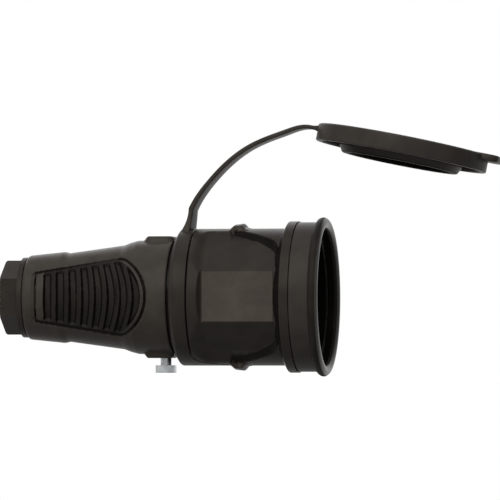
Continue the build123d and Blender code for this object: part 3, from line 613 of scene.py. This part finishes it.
def ring_tongue():
    """The soft tongue under the body, a curved slab with rounded edges."""
    # Stations crowd towards the tip, and across it towards both rims
    straight = np.linspace(RING_FRONT - TONGUE_LAP, TONGUE_TIP - TONGUE_CORNER, 60)
    tip = TONGUE_TIP - np.geomspace(0.9 * TONGUE_CORNER, HAIR, 14)
    xs = np.concatenate((straight, tip))
    flat = 1.0 - TONGUE_RIM_SHARE
    edge = np.linspace(flat, 1.0, 5)
    across = np.concatenate((-edge[::-1], np.linspace(-0.86, 0.86, 24), edge))
    points = []
    for surface in (1, 0):
        for x in xs:
            half = tongue_half(np.array(x))
            for share in across:
                rim = TONGUE_RIM * max(0.0, abs(share) - flat) / TONGUE_RIM_SHARE * surface
                y = share * half
                radius = BODY_RADIUS - rim - (1 - surface) * TONGUE_THICKNESS
                points.append((x, y, -math.sqrt(radius ** 2 - y ** 2)))
    rows, columns = len(xs), len(across)
    layer = rows * columns
    faces = []
    for i in range(rows - 1):
        here, there = i * columns, (i + 1) * columns
        for j in range(columns - 1):
            quad = (here + j, here + j + 1, there + j + 1, there + j)
            faces.append(quad)
            faces.append(tuple(layer + k for k in reversed(quad)))
    border = list(range(columns))
    border += [i * columns + columns - 1 for i in range(1, rows)]
    border += [(rows - 1) * columns + j for j in range(columns - 2, -1, -1)]
    border += [i * columns for i in range(rows - 2, 0, -1)]
    for here, there in zip(border, border[1:] + border[:1]):
        faces.append((here, there, layer + there, layer + here))
    return add_mesh("ring_tongue", points, faces)


def lip_ring():
    rear = [
        (LAND_REAR, LAND_RADIUS),
        (LAND_REAR, NECK_WALL_RADIUS + MOUTH_SEAT_GAP),
        (MOUTH_REAR, NECK_WALL_RADIUS + MOUTH_SEAT_GAP),
        (MOUTH_REAR, MOUTH_RADIUS - MOUTH_REAR_DROP),
        (MOUTH_REAR + MOUTH_REAR_RUN, MOUTH_RADIUS),
    ]
    meet = math.asin((MOUTH_RADIUS - BEAD_RING_RADIUS) / BEAD_RADIUS)
    bead = [
        (
            BEAD_X + BEAD_HALF_LENGTH * math.cos(turn),
            BEAD_RING_RADIUS + BEAD_RADIUS * math.sin(turn),
        )
        for turn in np.linspace(math.pi - meet, -math.pi / 2.0, BEAD_STEPS)
    ]
    front = [
        (LIP_REAR, BEAD_RING_RADIUS - BEAD_RADIUS),
        (LIP_REAR, LAND_RADIUS + LIP_CHAMFER),
        (LIP_REAR - LIP_CHAMFER, LAND_RADIUS),
    ]
    return turned("lip_ring", rear + bead + front, LIP_COLUMNS)


def hermite(points, start_run, end_run, pitch):
    """A smooth path through the points, with given directions at its ends."""
    points = [np.array(p, float) for p in points]
    runs = [np.array(start_run, float)]
    for before, after in zip(points, points[2:]):
        runs.append((after - before) / np.linalg.norm(after - before))
    runs.append(np.array(end_run, float))
    path = []
    for a, b, run_a, run_b in zip(points, points[1:], runs, runs[1:]):
        length = np.linalg.norm(b - a)
        cuts = math.ceil(length / pitch)
        for t in np.arange(cuts) / cuts:
            path.append(
                (2 * t ** 3 - 3 * t ** 2 + 1) * a
                + (t ** 3 - 2 * t ** 2 + t) * length * run_a
                + (3 * t ** 2 - 2 * t ** 3) * b
                + (t ** 3 - t ** 2) * length * run_b
            )
    path.append(points[-1])
    return np.array(path)


def ribbon(name, backs, fronts, halves, corner_steps=4):
    """A soft band between two rails in the XZ plane, halves wide each side, with rounded edges."""
    points = []
    loop = 4 * (corner_steps + 1)
    for back, front, half in zip(backs, fronts, halves):
        middle, reach = (back + front) / 2.0, (front - back) / 2.0
        thick = np.linalg.norm(reach)
        along = reach / thick
        radius = min(STRAP_CORNER, STRAP_CORNER_SHARE * thick)
        for quarter in range(4):
            diagonal = math.pi / 4.0 * (2 * quarter + 1)
            v = math.copysign(half - radius, math.cos(diagonal))
            u = math.copysign(thick - radius, math.sin(diagonal))
            for step in range(corner_steps + 1):
                turn = math.pi / 2.0 * (quarter + step / corner_steps)
                place = middle + along * (u + radius * math.sin(turn))
                points.append((place[0], v + radius * math.cos(turn), place[1]))
    rows = len(backs)
    faces = [tuple(range(loop)), tuple((rows - 1) * loop + j for j in reversed(range(loop)))]
    for i in range(rows - 1):
        here, there = i * loop, (i + 1) * loop
        for j in range(loop):
            n = (j + 1) % loop
            faces.append((here + j, here + n, there + n, there + j))
    return add_mesh(name, points, faces, sharp_angle=60.0)


def strap_pieces():
    """The strap in two lengths: its root and lower half, then its upper half and film."""
    slope = math.radians(BEND_SLOPE)
    tilt = math.radians(CAP_TILT)
    bend_run = (math.cos(slope), math.sin(slope))
    cap_run = (math.cos(tilt), -math.sin(tilt))
    points = [(BEND[0] + run, BEND[1] + rise) for run, rise in STRAP_RISES]
    path = hermite((BEND, *points, FILM), bend_run, cap_run, STRAP_PITCH)
    runs = np.gradient(path, axis=0)
    runs /= np.linalg.norm(runs, axis=1)[:, None]
    normals = np.stack((-runs[:, 1], runs[:, 0]), axis=1)
    thickness = np.interp(
        np.linspace(0.0, 1.0, len(path)),
        (0.0, STRAP_EVEN_FROM, STRAP_EVEN_TO, 1.0),
        (STRAP_ROOT_THICKNESS, STRAP_THICKNESS, STRAP_THICKNESS, FILM_THICKNESS),
    )
    backs = path + normals * thickness[:, None] / 2.0
    fronts = path - normals * thickness[:, None] / 2.0
    halves = np.full(len(path), STRAP_HALF_WIDTH)

    # The root spreads from the strap's foot down into the ring
    rise = np.linspace(0.0, 1.0, ROOT_ROWS + 1)[:-1]
    root_z = BODY_RADIUS - ROOT_SINK + rise * (BEND[1] - BODY_RADIUS + ROOT_SINK)
    back_run = backs[0][0] - RING_REAR - ROOT_REAR
    front_run = fronts[0][0] - RING_FRONT + ROOT_FRONT
    back_x = backs[0][0] - back_run * (1.0 - rise) ** ROOT_BACK_CURVE
    front_x = fronts[0][0] - front_run * (1.0 - rise) ** ROOT_FRONT_CURVE
    lean = rise ** ROOT_LEAN_CURVE
    root_backs = np.stack((back_x, root_z + lean * (backs[0][1] - BEND[1])), axis=1)
    root_fronts = np.stack((front_x, root_z + lean * (fronts[0][1] - BEND[1])), axis=1)
    spread = (ROOT_HALF_WIDTH - STRAP_HALF_WIDTH) * (1.0 - rise) ** ROOT_WIDTH_CURVE
    root_halves = STRAP_HALF_WIDTH + spread
    middle = len(path) // 2
    lower = ribbon(
        "strap_root",
        np.concatenate((root_backs, backs[: middle + 1])),
        np.concatenate((root_fronts, fronts[: middle + 1])),
        np.concatenate((root_halves, halves[: middle + 1])),
    )

    # The film thickens into the cap's skirt
    film_end = np.array(FILM) + (FILM_REACH + FILM_OVERLAP) * np.array(cap_run)
    film_up = np.array((math.sin(tilt), math.cos(tilt))) * FILM_THICKNESS / 2.0
    film_shares = np.linspace(0.0, 1.0, FILM_ROWS + 1)[1:, None]
    film_line = np.array(FILM) + film_shares * (film_end - np.array(FILM))
    grow = 1.0 + FILM_GROWTH * film_shares ** 3
    upper = ribbon(
        "strap_end",
        np.concatenate((backs[middle:], film_line + film_up * grow)),
        np.concatenate((fronts[middle:], film_line - film_up * grow)),
        np.concatenate((halves[middle:], np.full(len(film_line), STRAP_HALF_WIDTH))),
    )
    return lower, upper


def cap_place():
    """The cap's own frame: its axis as X, with the skirt's lower edge at the origin. The soft strap
    lets it roll a little, with its near side lifted."""
    tilt = math.radians(CAP_TILT)
    across = Vector((math.cos(tilt), 0.0, -math.sin(tilt)))
    up = Vector((math.sin(tilt), 0.0, math.cos(tilt)))
    film = Vector((FILM[0], 0.0, FILM[1]))
    center = film + across * (CAP_RADIUS + FILM_REACH) - up * FILM_HEIGHT
    up.rotate(Matrix.Rotation(-math.radians(CAP_ROLL), 3, across))
    side = up.cross(across)
    return Matrix((
        (up.x, side.x, across.x, center.x),
        (up.y, side.y, across.y, center.y),
        (up.z, side.z, across.z, center.z),
        (0.0, 0.0, 0.0, 1.0),
    ))


def cap_moulding(place):
    outline = rounded([
        (CAP_PLATE_UNDER, AXIS_HOLE, 0),
        (CAP_PLATE_UNDER, PLUG_BASE - PLUG_WALL, 0.5),
        (-PLUG_DROP, PLUG_TIP - PLUG_WALL, 0.5),
        (-PLUG_DROP, PLUG_TIP, 0.9),
        (0.0, PLUG_BASE, 0.8),
        (CAP_PLATE_UNDER, PLUG_BASE, 0.4),
        (CAP_PLATE_UNDER, SKIRT_INNER, 0.4),
        (0.0, SKIRT_INNER, 0.6),
        (0.0, CAP_RADIUS, 0.5),
        (CAP_HEIGHT, CAP_RADIUS, CAP_EDGE_ROUND),
    ])
    crown = [
        (
            CAP_HEIGHT + CAP_CROWN * (1.0 - share ** 2),
            max(AXIS_HOLE, share * (CAP_RADIUS - CAP_EDGE_ROUND)),
        )
        for share in np.linspace(0.97, 0.0, 24)
    ]
    return turned("cap_moulding", outline + crown, CAP_COLUMNS, place=place)


def cap_tab(place):
    """The pull tab on the cap's front edge: a rounded slab level with the top."""
    inner = SKIRT_INNER - TAB_ROOT
    outer = CAP_RADIUS + TAB_REACH
    corners = rounded([
        (inner, -TAB_HALF_WIDTH, 0),
        (outer, -TAB_HALF_WIDTH, TAB_ROUND),
        (outer, TAB_HALF_WIDTH, TAB_ROUND),
        (inner, TAB_HALF_WIDTH, 0),
    ], 8)
    top = CAP_HEIGHT + TAB_PROUD
    bottom = top - TAB_THICKNESS
    levels = ((bottom, TAB_EDGE), (bottom + TAB_EDGE, 0.0), (top - TAB_EDGE, 0.0), (top, TAB_EDGE))
    centre = np.array(((inner + outer) / 2.0, 0.0))
    points = []
    for height, inset in levels:
        for corner in corners:
            reach = corner - centre
            spot = centre + reach * (1.0 - inset / np.linalg.norm(reach))
            points.append(tuple(place @ Vector((height, spot[1], spot[0]))))
    count = len(corners)
    last = len(levels) - 1
    faces = [tuple(range(count)), tuple(last * count + j for j in reversed(range(count)))]
    for level in range(last):
        here, there = level * count, (level + 1) * count
        for j in range(count):
            n = (j + 1) % count
            faces.append((here + j, here + n, there + n, there + j))
    return add_mesh("cap_tab", points, faces, sharp_angle=50.0)


# Materials. Scales are in waves per metre, bump distances in metres, and a noise node's values lie
# mostly between the first two.
NOISE_LOW, NOISE_HIGH = 0.3, 0.7
MOULDED_CLOUD, MOULDED_DETAIL, MOULDED_BUMP = 160.0, 5.0, 0.00008
METAL_CLOUD, DRAWN_LINES, DRAWN_DETAIL = 240.0, 700.0, 4.0
DRAWN_STRENGTH, DRAWN_BUMP = 0.12, 0.00005


def new_material(name):
    """A material with its shader and a node for places in the part's frame, in metres."""
    material = bpy.data.materials.new(name)
    material.use_nodes = True
    nodes, links = material.node_tree.nodes, material.node_tree.links
    shader = nodes["Principled BSDF"]
    place = nodes.new("ShaderNodeTexCoord").outputs["Object"]
    return material, nodes, links, shader, place


def noise(nodes, links, place, scale, detail=3.0, stretch=None):
    """A noise value over the surface; scale is in waves per metre, stretched by axis if asked."""
    if stretch:
        mapping = nodes.new("ShaderNodeMapping")
        mapping.inputs["Scale"].default_value = stretch
        links.new(place, mapping.inputs["Vector"])
        place = mapping.outputs["Vector"]
    texture = nodes.new("ShaderNodeTexNoise")
    texture.inputs["Scale"].default_value = scale
    texture.inputs["Detail"].default_value = detail
    links.new(place, texture.inputs["Vector"])
    return texture.outputs["Fac"]


def ranged(nodes, links, value, low, high):
    """A number between two limits, by a noise value."""
    node = nodes.new("ShaderNodeMapRange")
    node.inputs["From Min"].default_value = NOISE_LOW
    node.inputs["From Max"].default_value = NOISE_HIGH
    node.inputs["To Min"].default_value = low
    node.inputs["To Max"].default_value = high
    links.new(value, node.inputs["Value"])
    return node.outputs["Result"]


def toned(nodes, links, value, dark, light):
    """A colour between two tones, by a noise value."""
    ramp = nodes.new("ShaderNodeValToRGB")
    ramp.color_ramp.elements[0].position = NOISE_LOW
    ramp.color_ramp.elements[0].color = (*dark, 1.0)
    ramp.color_ramp.elements[1].position = NOISE_HIGH
    ramp.color_ramp.elements[1].color = (*light, 1.0)
    links.new(value, ramp.inputs["Fac"])
    return ramp.outputs["Color"]


def bumped(nodes, links, shader, height, strength, distance):
    bump = nodes.new("ShaderNodeBump")
    bump.inputs["Strength"].default_value = strength
    bump.inputs["Distance"].default_value = distance
    links.new(height, bump.inputs["Height"])
    links.new(bump.outputs["Normal"], shader.inputs["Normal"])


def moulded(name, tones, roughness, grain, strength, level):
    """Moulded plastic or rubber: cloudy tone between two, uneven sheen and a fine surface grain."""
    material, nodes, links, shader, place = new_material(name)
    cloud = noise(nodes, links, place, MOULDED_CLOUD)
    fine = noise(nodes, links, place, grain, MOULDED_DETAIL)
    links.new(toned(nodes, links, cloud, *tones), shader.inputs["Base Color"])
    links.new(ranged(nodes, links, fine, *roughness), shader.inputs["Roughness"])
    bumped(nodes, links, shader, fine, strength, MOULDED_BUMP)
    shader.inputs["Specular IOR Level"].default_value = level
    return material


def metal(name, tones, roughness, stretch):
    """Plated or plain metal with fine drawn lines."""
    material, nodes, links, shader, place = new_material(name)
    cloud = noise(nodes, links, place, METAL_CLOUD)
    lines = noise(nodes, links, place, DRAWN_LINES, DRAWN_DETAIL, stretch)
    links.new(toned(nodes, links, cloud, *tones), shader.inputs["Base Color"])
    links.new(ranged(nodes, links, lines, *roughness), shader.inputs["Roughness"])
    bumped(nodes, links, shader, lines, DRAWN_STRENGTH, DRAWN_BUMP)
    shader.inputs["Metallic"].default_value = 1.0
    return material


SHELL_TONES = (0.0270, 0.0247, 0.0225), (0.0350, 0.0320, 0.0290)
RUBBER_TONES = (0.0240, 0.0222, 0.0208), (0.0310, 0.0285, 0.0265)
INSERT_TONES = (0.010, 0.010, 0.010), (0.014, 0.014, 0.014)
ZINC_TONES = (0.22, 0.235, 0.245), (0.46, 0.48, 0.49)
BRASS_TONES = (0.62, 0.46, 0.20), (0.74, 0.58, 0.30)
STRIP_TONES = (0.58, 0.57, 0.54), (0.70, 0.69, 0.66)
FLAT_TONES = (0.038, 0.034, 0.031), (0.050, 0.045, 0.041)
# Painted shade: near-black for faces in hollows, gaps, flanks and insides
PAINTED_SHADE_TONES = (0.0042, 0.0039, 0.0036), (0.0060, 0.0056, 0.0052)
# Painted shade: a darker copy of the mouldings' tone
SHADED_COPY_TONES = (0.0170, 0.0156, 0.0142), (0.0220, 0.0202, 0.0184)
# A darker grip tone for the ribs, which is also painted shade on the bead and the plug's rim
DARK_GRIP_AND_SHADE_TONES = (0.0110, 0.0103, 0.0095), (0.0155, 0.0145, 0.0134)
DRAWN_UP, DRAWN_ALONG = (1.0, 1.0, 6.0), (6.0, 1.0, 1.0)

# The record's material slots
MATERIALS = {
    "shell_plastic": moulded("black_shell", SHELL_TONES, (0.32, 0.40), 2600.0, 0.20, 0.03),
    "soft_rubber": moulded("black_rubber", RUBBER_TONES, (0.36, 0.44), 2200.0, 0.16, 0.03),
    "inner_plastic": moulded("black_insert", INSERT_TONES, (0.42, 0.52), 2000.0, 0.15, 0.03),
    "plated_steel": metal("zinc_plate", ZINC_TONES, (0.22, 0.36), DRAWN_UP),
    "contact_brass": metal("contact_brass", BRASS_TONES, (0.26, 0.40), DRAWN_ALONG),
    "spring_strip": metal("spring_strip", STRIP_TONES, (0.22, 0.36), DRAWN_ALONG),
}
# Further finishes of the black mouldings: the rough side flats, painted shade on faces in hollows, gaps and
# flanks, a darker copy painted as shade over the sleeve, ring and nut, the mouth's shining lip, and a darker,
# rougher grip on the ribs that is also painted shade on the bead and the plug's rim
FLAT_GRAIN = moulded("black_rough_flat", FLAT_TONES, (0.50, 0.62), 1500.0, 0.5, 0.04)
PAINTED_SHADE = moulded("black_painted_shade", PAINTED_SHADE_TONES, (0.20, 0.28), 2600.0, 0.1, 0.03)
SHADED_COPY = moulded("black_shaded_copy", SHADED_COPY_TONES, (0.34, 0.42), 2600.0, 0.2, 0.03)
LIP_SHEEN = moulded("black_lip", RUBBER_TONES, (0.24, 0.32), 2200.0, 0.1, 0.14)
DARK_GRIP_AND_SHADE = moulded("black_grip_and_painted_shade", DARK_GRIP_AND_SHADE_TONES, (0.46, 0.56), 2000.0, 0.3, 0.02)

SOLID_SHARP_ANGLE = 30.0
slot_of = {part["node"]: part["material_slot"] for part in frame["record"]["subparts"]}
for node, obj in frame["nodes"].items():
    obj.data.materials.clear()
    # The nut gets the darker copy of the moulding, as painted shade
    obj.data.materials.append(SHADED_COPY if node == "gland_nut" else MATERIALS[slot_of[node]])
    obj.data.set_sharp_from_angle(angle=math.radians(SOLID_SHARP_ANGLE))


def dress(piece, slot, node):
    """Gives a piece its slot's finish and hides the solid it stands for."""
    piece.data.materials.append(MATERIALS[slot])
    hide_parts(node)
    return piece


def paint(piece, finishes, choose):
    """Gives each face the finish that choose(spot, facing) returns, None being the piece's own."""
    index_of = {}
    for finish in finishes:
        index_of[finish.name] = len(piece.data.materials)
        piece.data.materials.append(finish)
    for face in piece.data.polygons:
        finish = choose(face.center / MM, face.normal)
        face.material_index = index_of[finish.name] if finish else 0


def handle_finish_and_shade(spot, facing):
    """The engraved line, the ribs' walls and the gap before the ring get painted shade; the ribbed field past the
    first rib is darker and rougher.
    """
    beside = abs(spot.y) > CABLE_HOLE and math.hypot(spot.y, spot.z) > PANEL_LEAST_RADIUS
    on_side = beside and spot.x < HANDLE_FRONT - HANDLE_FRONT_ROUND
    from_line = abs(panel_depth(spot.x, spot.z) - PANEL_LINE_IN)
    on_line = from_line < PANEL_LINE_HALF and spot.x > PANEL_REAR + PANEL_LINE_FADE
    in_field = on_side and field_depth(spot.x, spot.z) > PANEL_BORDER - RIB_RAMP
    on_wall = in_field and abs(facing.x) > RIB_WALL_FACING
    if on_side and on_line or on_wall or spot.x > HANDLE_FRONT - GAP_SHADE:
        return PAINTED_SHADE
    if in_field and spot.x > RIB_FIRST + RIB_WIDTH:
        return DARK_GRIP_AND_SHADE
    return None


def sleeve_finish_and_shade(spot, facing):
    """Side flats are rough. The rear edge, the recess, the tongues' flanks and the collar's slope get painted
    shade; the bore and the lugs keep the moulding's own tone, and the rest gets a darker copy of it as painted
    shade.
    """
    radius = math.hypot(spot.y, spot.z)
    outwards = (spot.y * facing.y + spot.z * facing.z) / radius
    steep = outwards < FLANK_FACING and facing.x < FLANK_MOST_FORWARD
    if spot.x < SLEEVE_REAR + PARTING_ROUND:
        return PAINTED_SHADE
    if radius < SLEEVE_WALL_FROM:
        return PAINTED_SHADE if spot.x > RECESS_FLOOR else None
    if FLAT_START < spot.x < COLLAR_REAR and abs(facing.y) > FLAT_FACING:
        return FLAT_GRAIN
    if radius > BODY_RADIUS and spot.x < LUG_REAR + LUG_LENGTH:
        return None
    if LUG_REAR < spot.x < COLLAR and steep:
        return PAINTED_SHADE
    return SHADED_COPY


# The ring's front edge at the parting line gets painted shade, and the band ahead of its rear chamfer a darker
# copy of the rubber as painted shade; the chamfer keeps the rubber's own tone.
def band_shade(spot, facing):
    if spot.x > RING_FRONT - PARTING_ROUND:
        return PAINTED_SHADE
    return SHADED_COPY if spot.x > RING_REAR + RING_CHAMFER else None


def lip_finish_and_shade(spot, facing):
    """The lip's front shines; its inside gets painted shade, and the bead's outside a darker grip tone as painted
    shade.
    """
    if spot.x < BEAD_X and spot.y * facing.y + spot.z * facing.z < 0.0:
        return PAINTED_SHADE
    if facing.x > LIP_FACING:
        return LIP_SHEEN
    return DARK_GRIP_AND_SHADE if spot.x > BEAD_X - BEAD_HALF_LENGTH else None


def cap_finish_and_shade(spot, facing):
    """The rim of the cap's plug ring gets a darker grip tone as painted shade, and the plug's inside painted
    shade.
    """
    spot = to_cap @ spot
    if spot.x < PLUG_RIM - PLUG_DROP:
        return DARK_GRIP_AND_SHADE
    inside = math.hypot(spot.y, spot.z) < PLUG_INSIDE
    return PAINTED_SHADE if inside and spot.x < PLUG_INSIDE_TOP else None


handle = dress(handle_skin(), "shell_plastic", "handle_shell")
paint(handle, (DARK_GRIP_AND_SHADE, PAINTED_SHADE), handle_finish_and_shade)
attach(handle, "coupling")
sleeve = dress(sleeve_skin(), "shell_plastic", "front_sleeve")
paint(sleeve, (FLAT_GRAIN, PAINTED_SHADE, SHADED_COPY), sleeve_finish_and_shade)
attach(sleeve, "coupling")
band = dress(ring_band(), "soft_rubber", "cap_ring")
paint(band, (PAINTED_SHADE, SHADED_COPY), band_shade)
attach(band, "coupling")
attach(dress(ring_tongue(), "soft_rubber", "cap_ring"), "coupling")
lip = dress(lip_ring(), "soft_rubber", "mouth_ring")
paint(lip, (PAINTED_SHADE, LIP_SHEEN, DARK_GRIP_AND_SHADE), lip_finish_and_shade)
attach(lip, "coupling")

strap_low, strap_high = strap_pieces()
dress(strap_low, "soft_rubber", "cap_strap")
dress(strap_high, "soft_rubber", "cap_strap")
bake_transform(strap_low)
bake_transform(strap_high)
cap_frame = cap_place()
to_cap = cap_frame.inverted()
cap = dress(cap_moulding(cap_frame), "soft_rubber", "sealing_cap")
paint(cap, (PAINTED_SHADE, DARK_GRIP_AND_SHADE), cap_finish_and_shade)
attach(cap, "cap")
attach(dress(cap_tab(cap_frame), "soft_rubber", "sealing_cap"), "cap")

HARD_EDGE_ROUND = 0.25
HARD_EDGE_ANGLE = 25.0
for node in ("gland_nut", "housing_screw"):
    bevel = frame["nodes"][node].modifiers.new("edge_round", "BEVEL")
    bevel.width = HARD_EDGE_ROUND * MM
    bevel.segments = 2
    bevel.limit_method = "ANGLE"
    bevel.angle_limit = math.radians(HARD_EDGE_ANGLE)
    bevel.harden_normals = True


def seen_directly(nodes, links):
    """1 for rays from the camera and those mirrored by metal or passed by glass, otherwise 0."""
    path = nodes.new("ShaderNodeLightPath")
    seen = path.outputs["Is Camera Ray"]
    for kind in ("Is Glossy Ray", "Is Transmission Ray"):
        either_kind = nodes.new("ShaderNodeMath")
        either_kind.operation = "MAXIMUM"
        links.new(seen, either_kind.inputs[0])
        links.new(path.outputs[kind], either_kind.inputs[1])
        seen = either_kind.outputs["Value"]
    return seen


# Studio, in metres: a pale floor under the mouth's bead that looks white to the camera and in metal
FLOOR_Z = cad_box[0].z
FLOOR_HALF = 0.6
FLOOR_TONES = (0.46, 0.46, 0.46), (0.48, 0.48, 0.48)
FLOOR_GLOW = (0.78, 0.78, 0.78, 1.0)
FLOOR_CLOUD = 3.0
FLOOR_ROUGHNESS = 0.9
FLOOR_SPECULAR = 0.1
floor_corners = ((-1.0, -1.0), (1.0, -1.0), (1.0, 1.0), (-1.0, 1.0))
floor_mesh = bpy.data.meshes.new("floor")
floor_mesh.from_pydata(
    [(x * FLOOR_HALF, y * FLOOR_HALF, FLOOR_Z) for x, y in floor_corners], [], [(0, 1, 2, 3)]
)
floor = bpy.data.objects.new("floor", floor_mesh)
bpy.context.scene.collection.objects.link(floor)
floor_material, floor_nodes, floor_links, floor_shader, floor_place = new_material("pale_floor")
floor_noise = noise(floor_nodes, floor_links, floor_place, FLOOR_CLOUD)
floor_tone = toned(floor_nodes, floor_links, floor_noise, *FLOOR_TONES)
floor_links.new(floor_tone, floor_shader.inputs["Base Color"])
floor_shader.inputs["Roughness"].default_value = FLOOR_ROUGHNESS
floor_shader.inputs["Specular IOR Level"].default_value = FLOOR_SPECULAR
floor_shader.inputs["Emission Color"].default_value = FLOOR_GLOW
floor_seen = seen_directly(floor_nodes, floor_links)
floor_links.new(floor_seen, floor_shader.inputs["Emission Strength"])
floor.data.materials.append(floor_material)

# A white world for the camera and for metal, and a little even light for everything else
AMBIENT = 0.08
BACKDROP = 1.0
world = bpy.data.worlds.new("studio")
bpy.context.scene.world = world
world.use_nodes = True
sky, sky_links = world.node_tree.nodes, world.node_tree.links
ambient = sky["Background"]
backdrop = sky.new("ShaderNodeBackground")
for background, strength in ((ambient, AMBIENT), (backdrop, BACKDROP)):
    background.inputs["Color"].default_value = (1.0, 1.0, 1.0, 1.0)
    background.inputs["Strength"].default_value = strength
either = sky.new("ShaderNodeMixShader")
sky_links.new(seen_directly(sky, sky_links), either.inputs["Fac"])
sky_links.new(ambient.outputs["Background"], either.inputs[1])
sky_links.new(backdrop.outputs["Background"], either.inputs[2])
sky_links.new(either.outputs["Shader"], sky["World Output"].inputs["Surface"])


def direction(azimuth, elevation):
    """The way from the part to a lamp or camera, azimuth counted from -Y towards the mouth."""
    turn, lift = math.radians(azimuth), math.radians(elevation)
    level = math.cos(lift)
    return Vector((math.sin(turn) * level, -math.cos(turn) * level, math.sin(lift)))


def aim(obj, target, away, distance):
    """Puts a lamp or camera at a distance from its target and points it there."""
    obj.location = target + away * distance
    obj.rotation_mode = "QUATERNION"
    obj.rotation_quaternion = (-away).to_track_quat("-Z", "Y")
    bpy.context.scene.collection.objects.link(obj)


def softbox(name, azimuth, elevation, distance, width, height, power, tint):
    """A rectangular area lamp aimed at the part."""
    lamp = bpy.data.lights.new(name, "AREA")
    lamp.shape = "RECTANGLE"
    lamp.size, lamp.size_y = width, height
    lamp.energy = power
    lamp.color = tint
    box = bpy.data.objects.new(name, lamp)
    aim(box, LAMP_AIM, direction(azimuth, elevation), distance)


# Lamps: a soft key in front, and a little light from above and behind
LAMP_AIM = Vector((0.09, 0.0, 0.01))
WARM = (1.0, 0.93, 0.85)
WHITE = (1.0, 1.0, 1.0)
softbox("key_front", -10.0, 38.0, 1.3, 1.0, 0.9, 24.0, WARM)
softbox("key_top", 20.0, 88.0, 1.0, 1.0, 0.7, 3.0, WHITE)
softbox("fill_back", 200.0, 30.0, 1.4, 1.2, 0.8, 5.0, WHITE)

# Camera: the photograph's place, a little to the mouth's side and just below the axis
CAMERA_AIM = Vector((0.0909, 0.0, 0.0172))
CAMERA_AZIMUTH = 9.8
CAMERA_ELEVATION = -1.2
CAMERA_DISTANCE = 2.0
VIEW_WIDTH = 0.1825
SENSOR_WIDTH = 36.0
camera_data = bpy.data.cameras.new("camera")
camera_data.sensor_width = SENSOR_WIDTH
camera_data.lens = SENSOR_WIDTH * CAMERA_DISTANCE / VIEW_WIDTH
camera = bpy.data.objects.new("camera", camera_data)
aim(camera, CAMERA_AIM, direction(CAMERA_AZIMUTH, CAMERA_ELEVATION), CAMERA_DISTANCE)
bpy.context.scene.camera = camera
bpy.context.scene.view_settings.view_transform = "Standard"
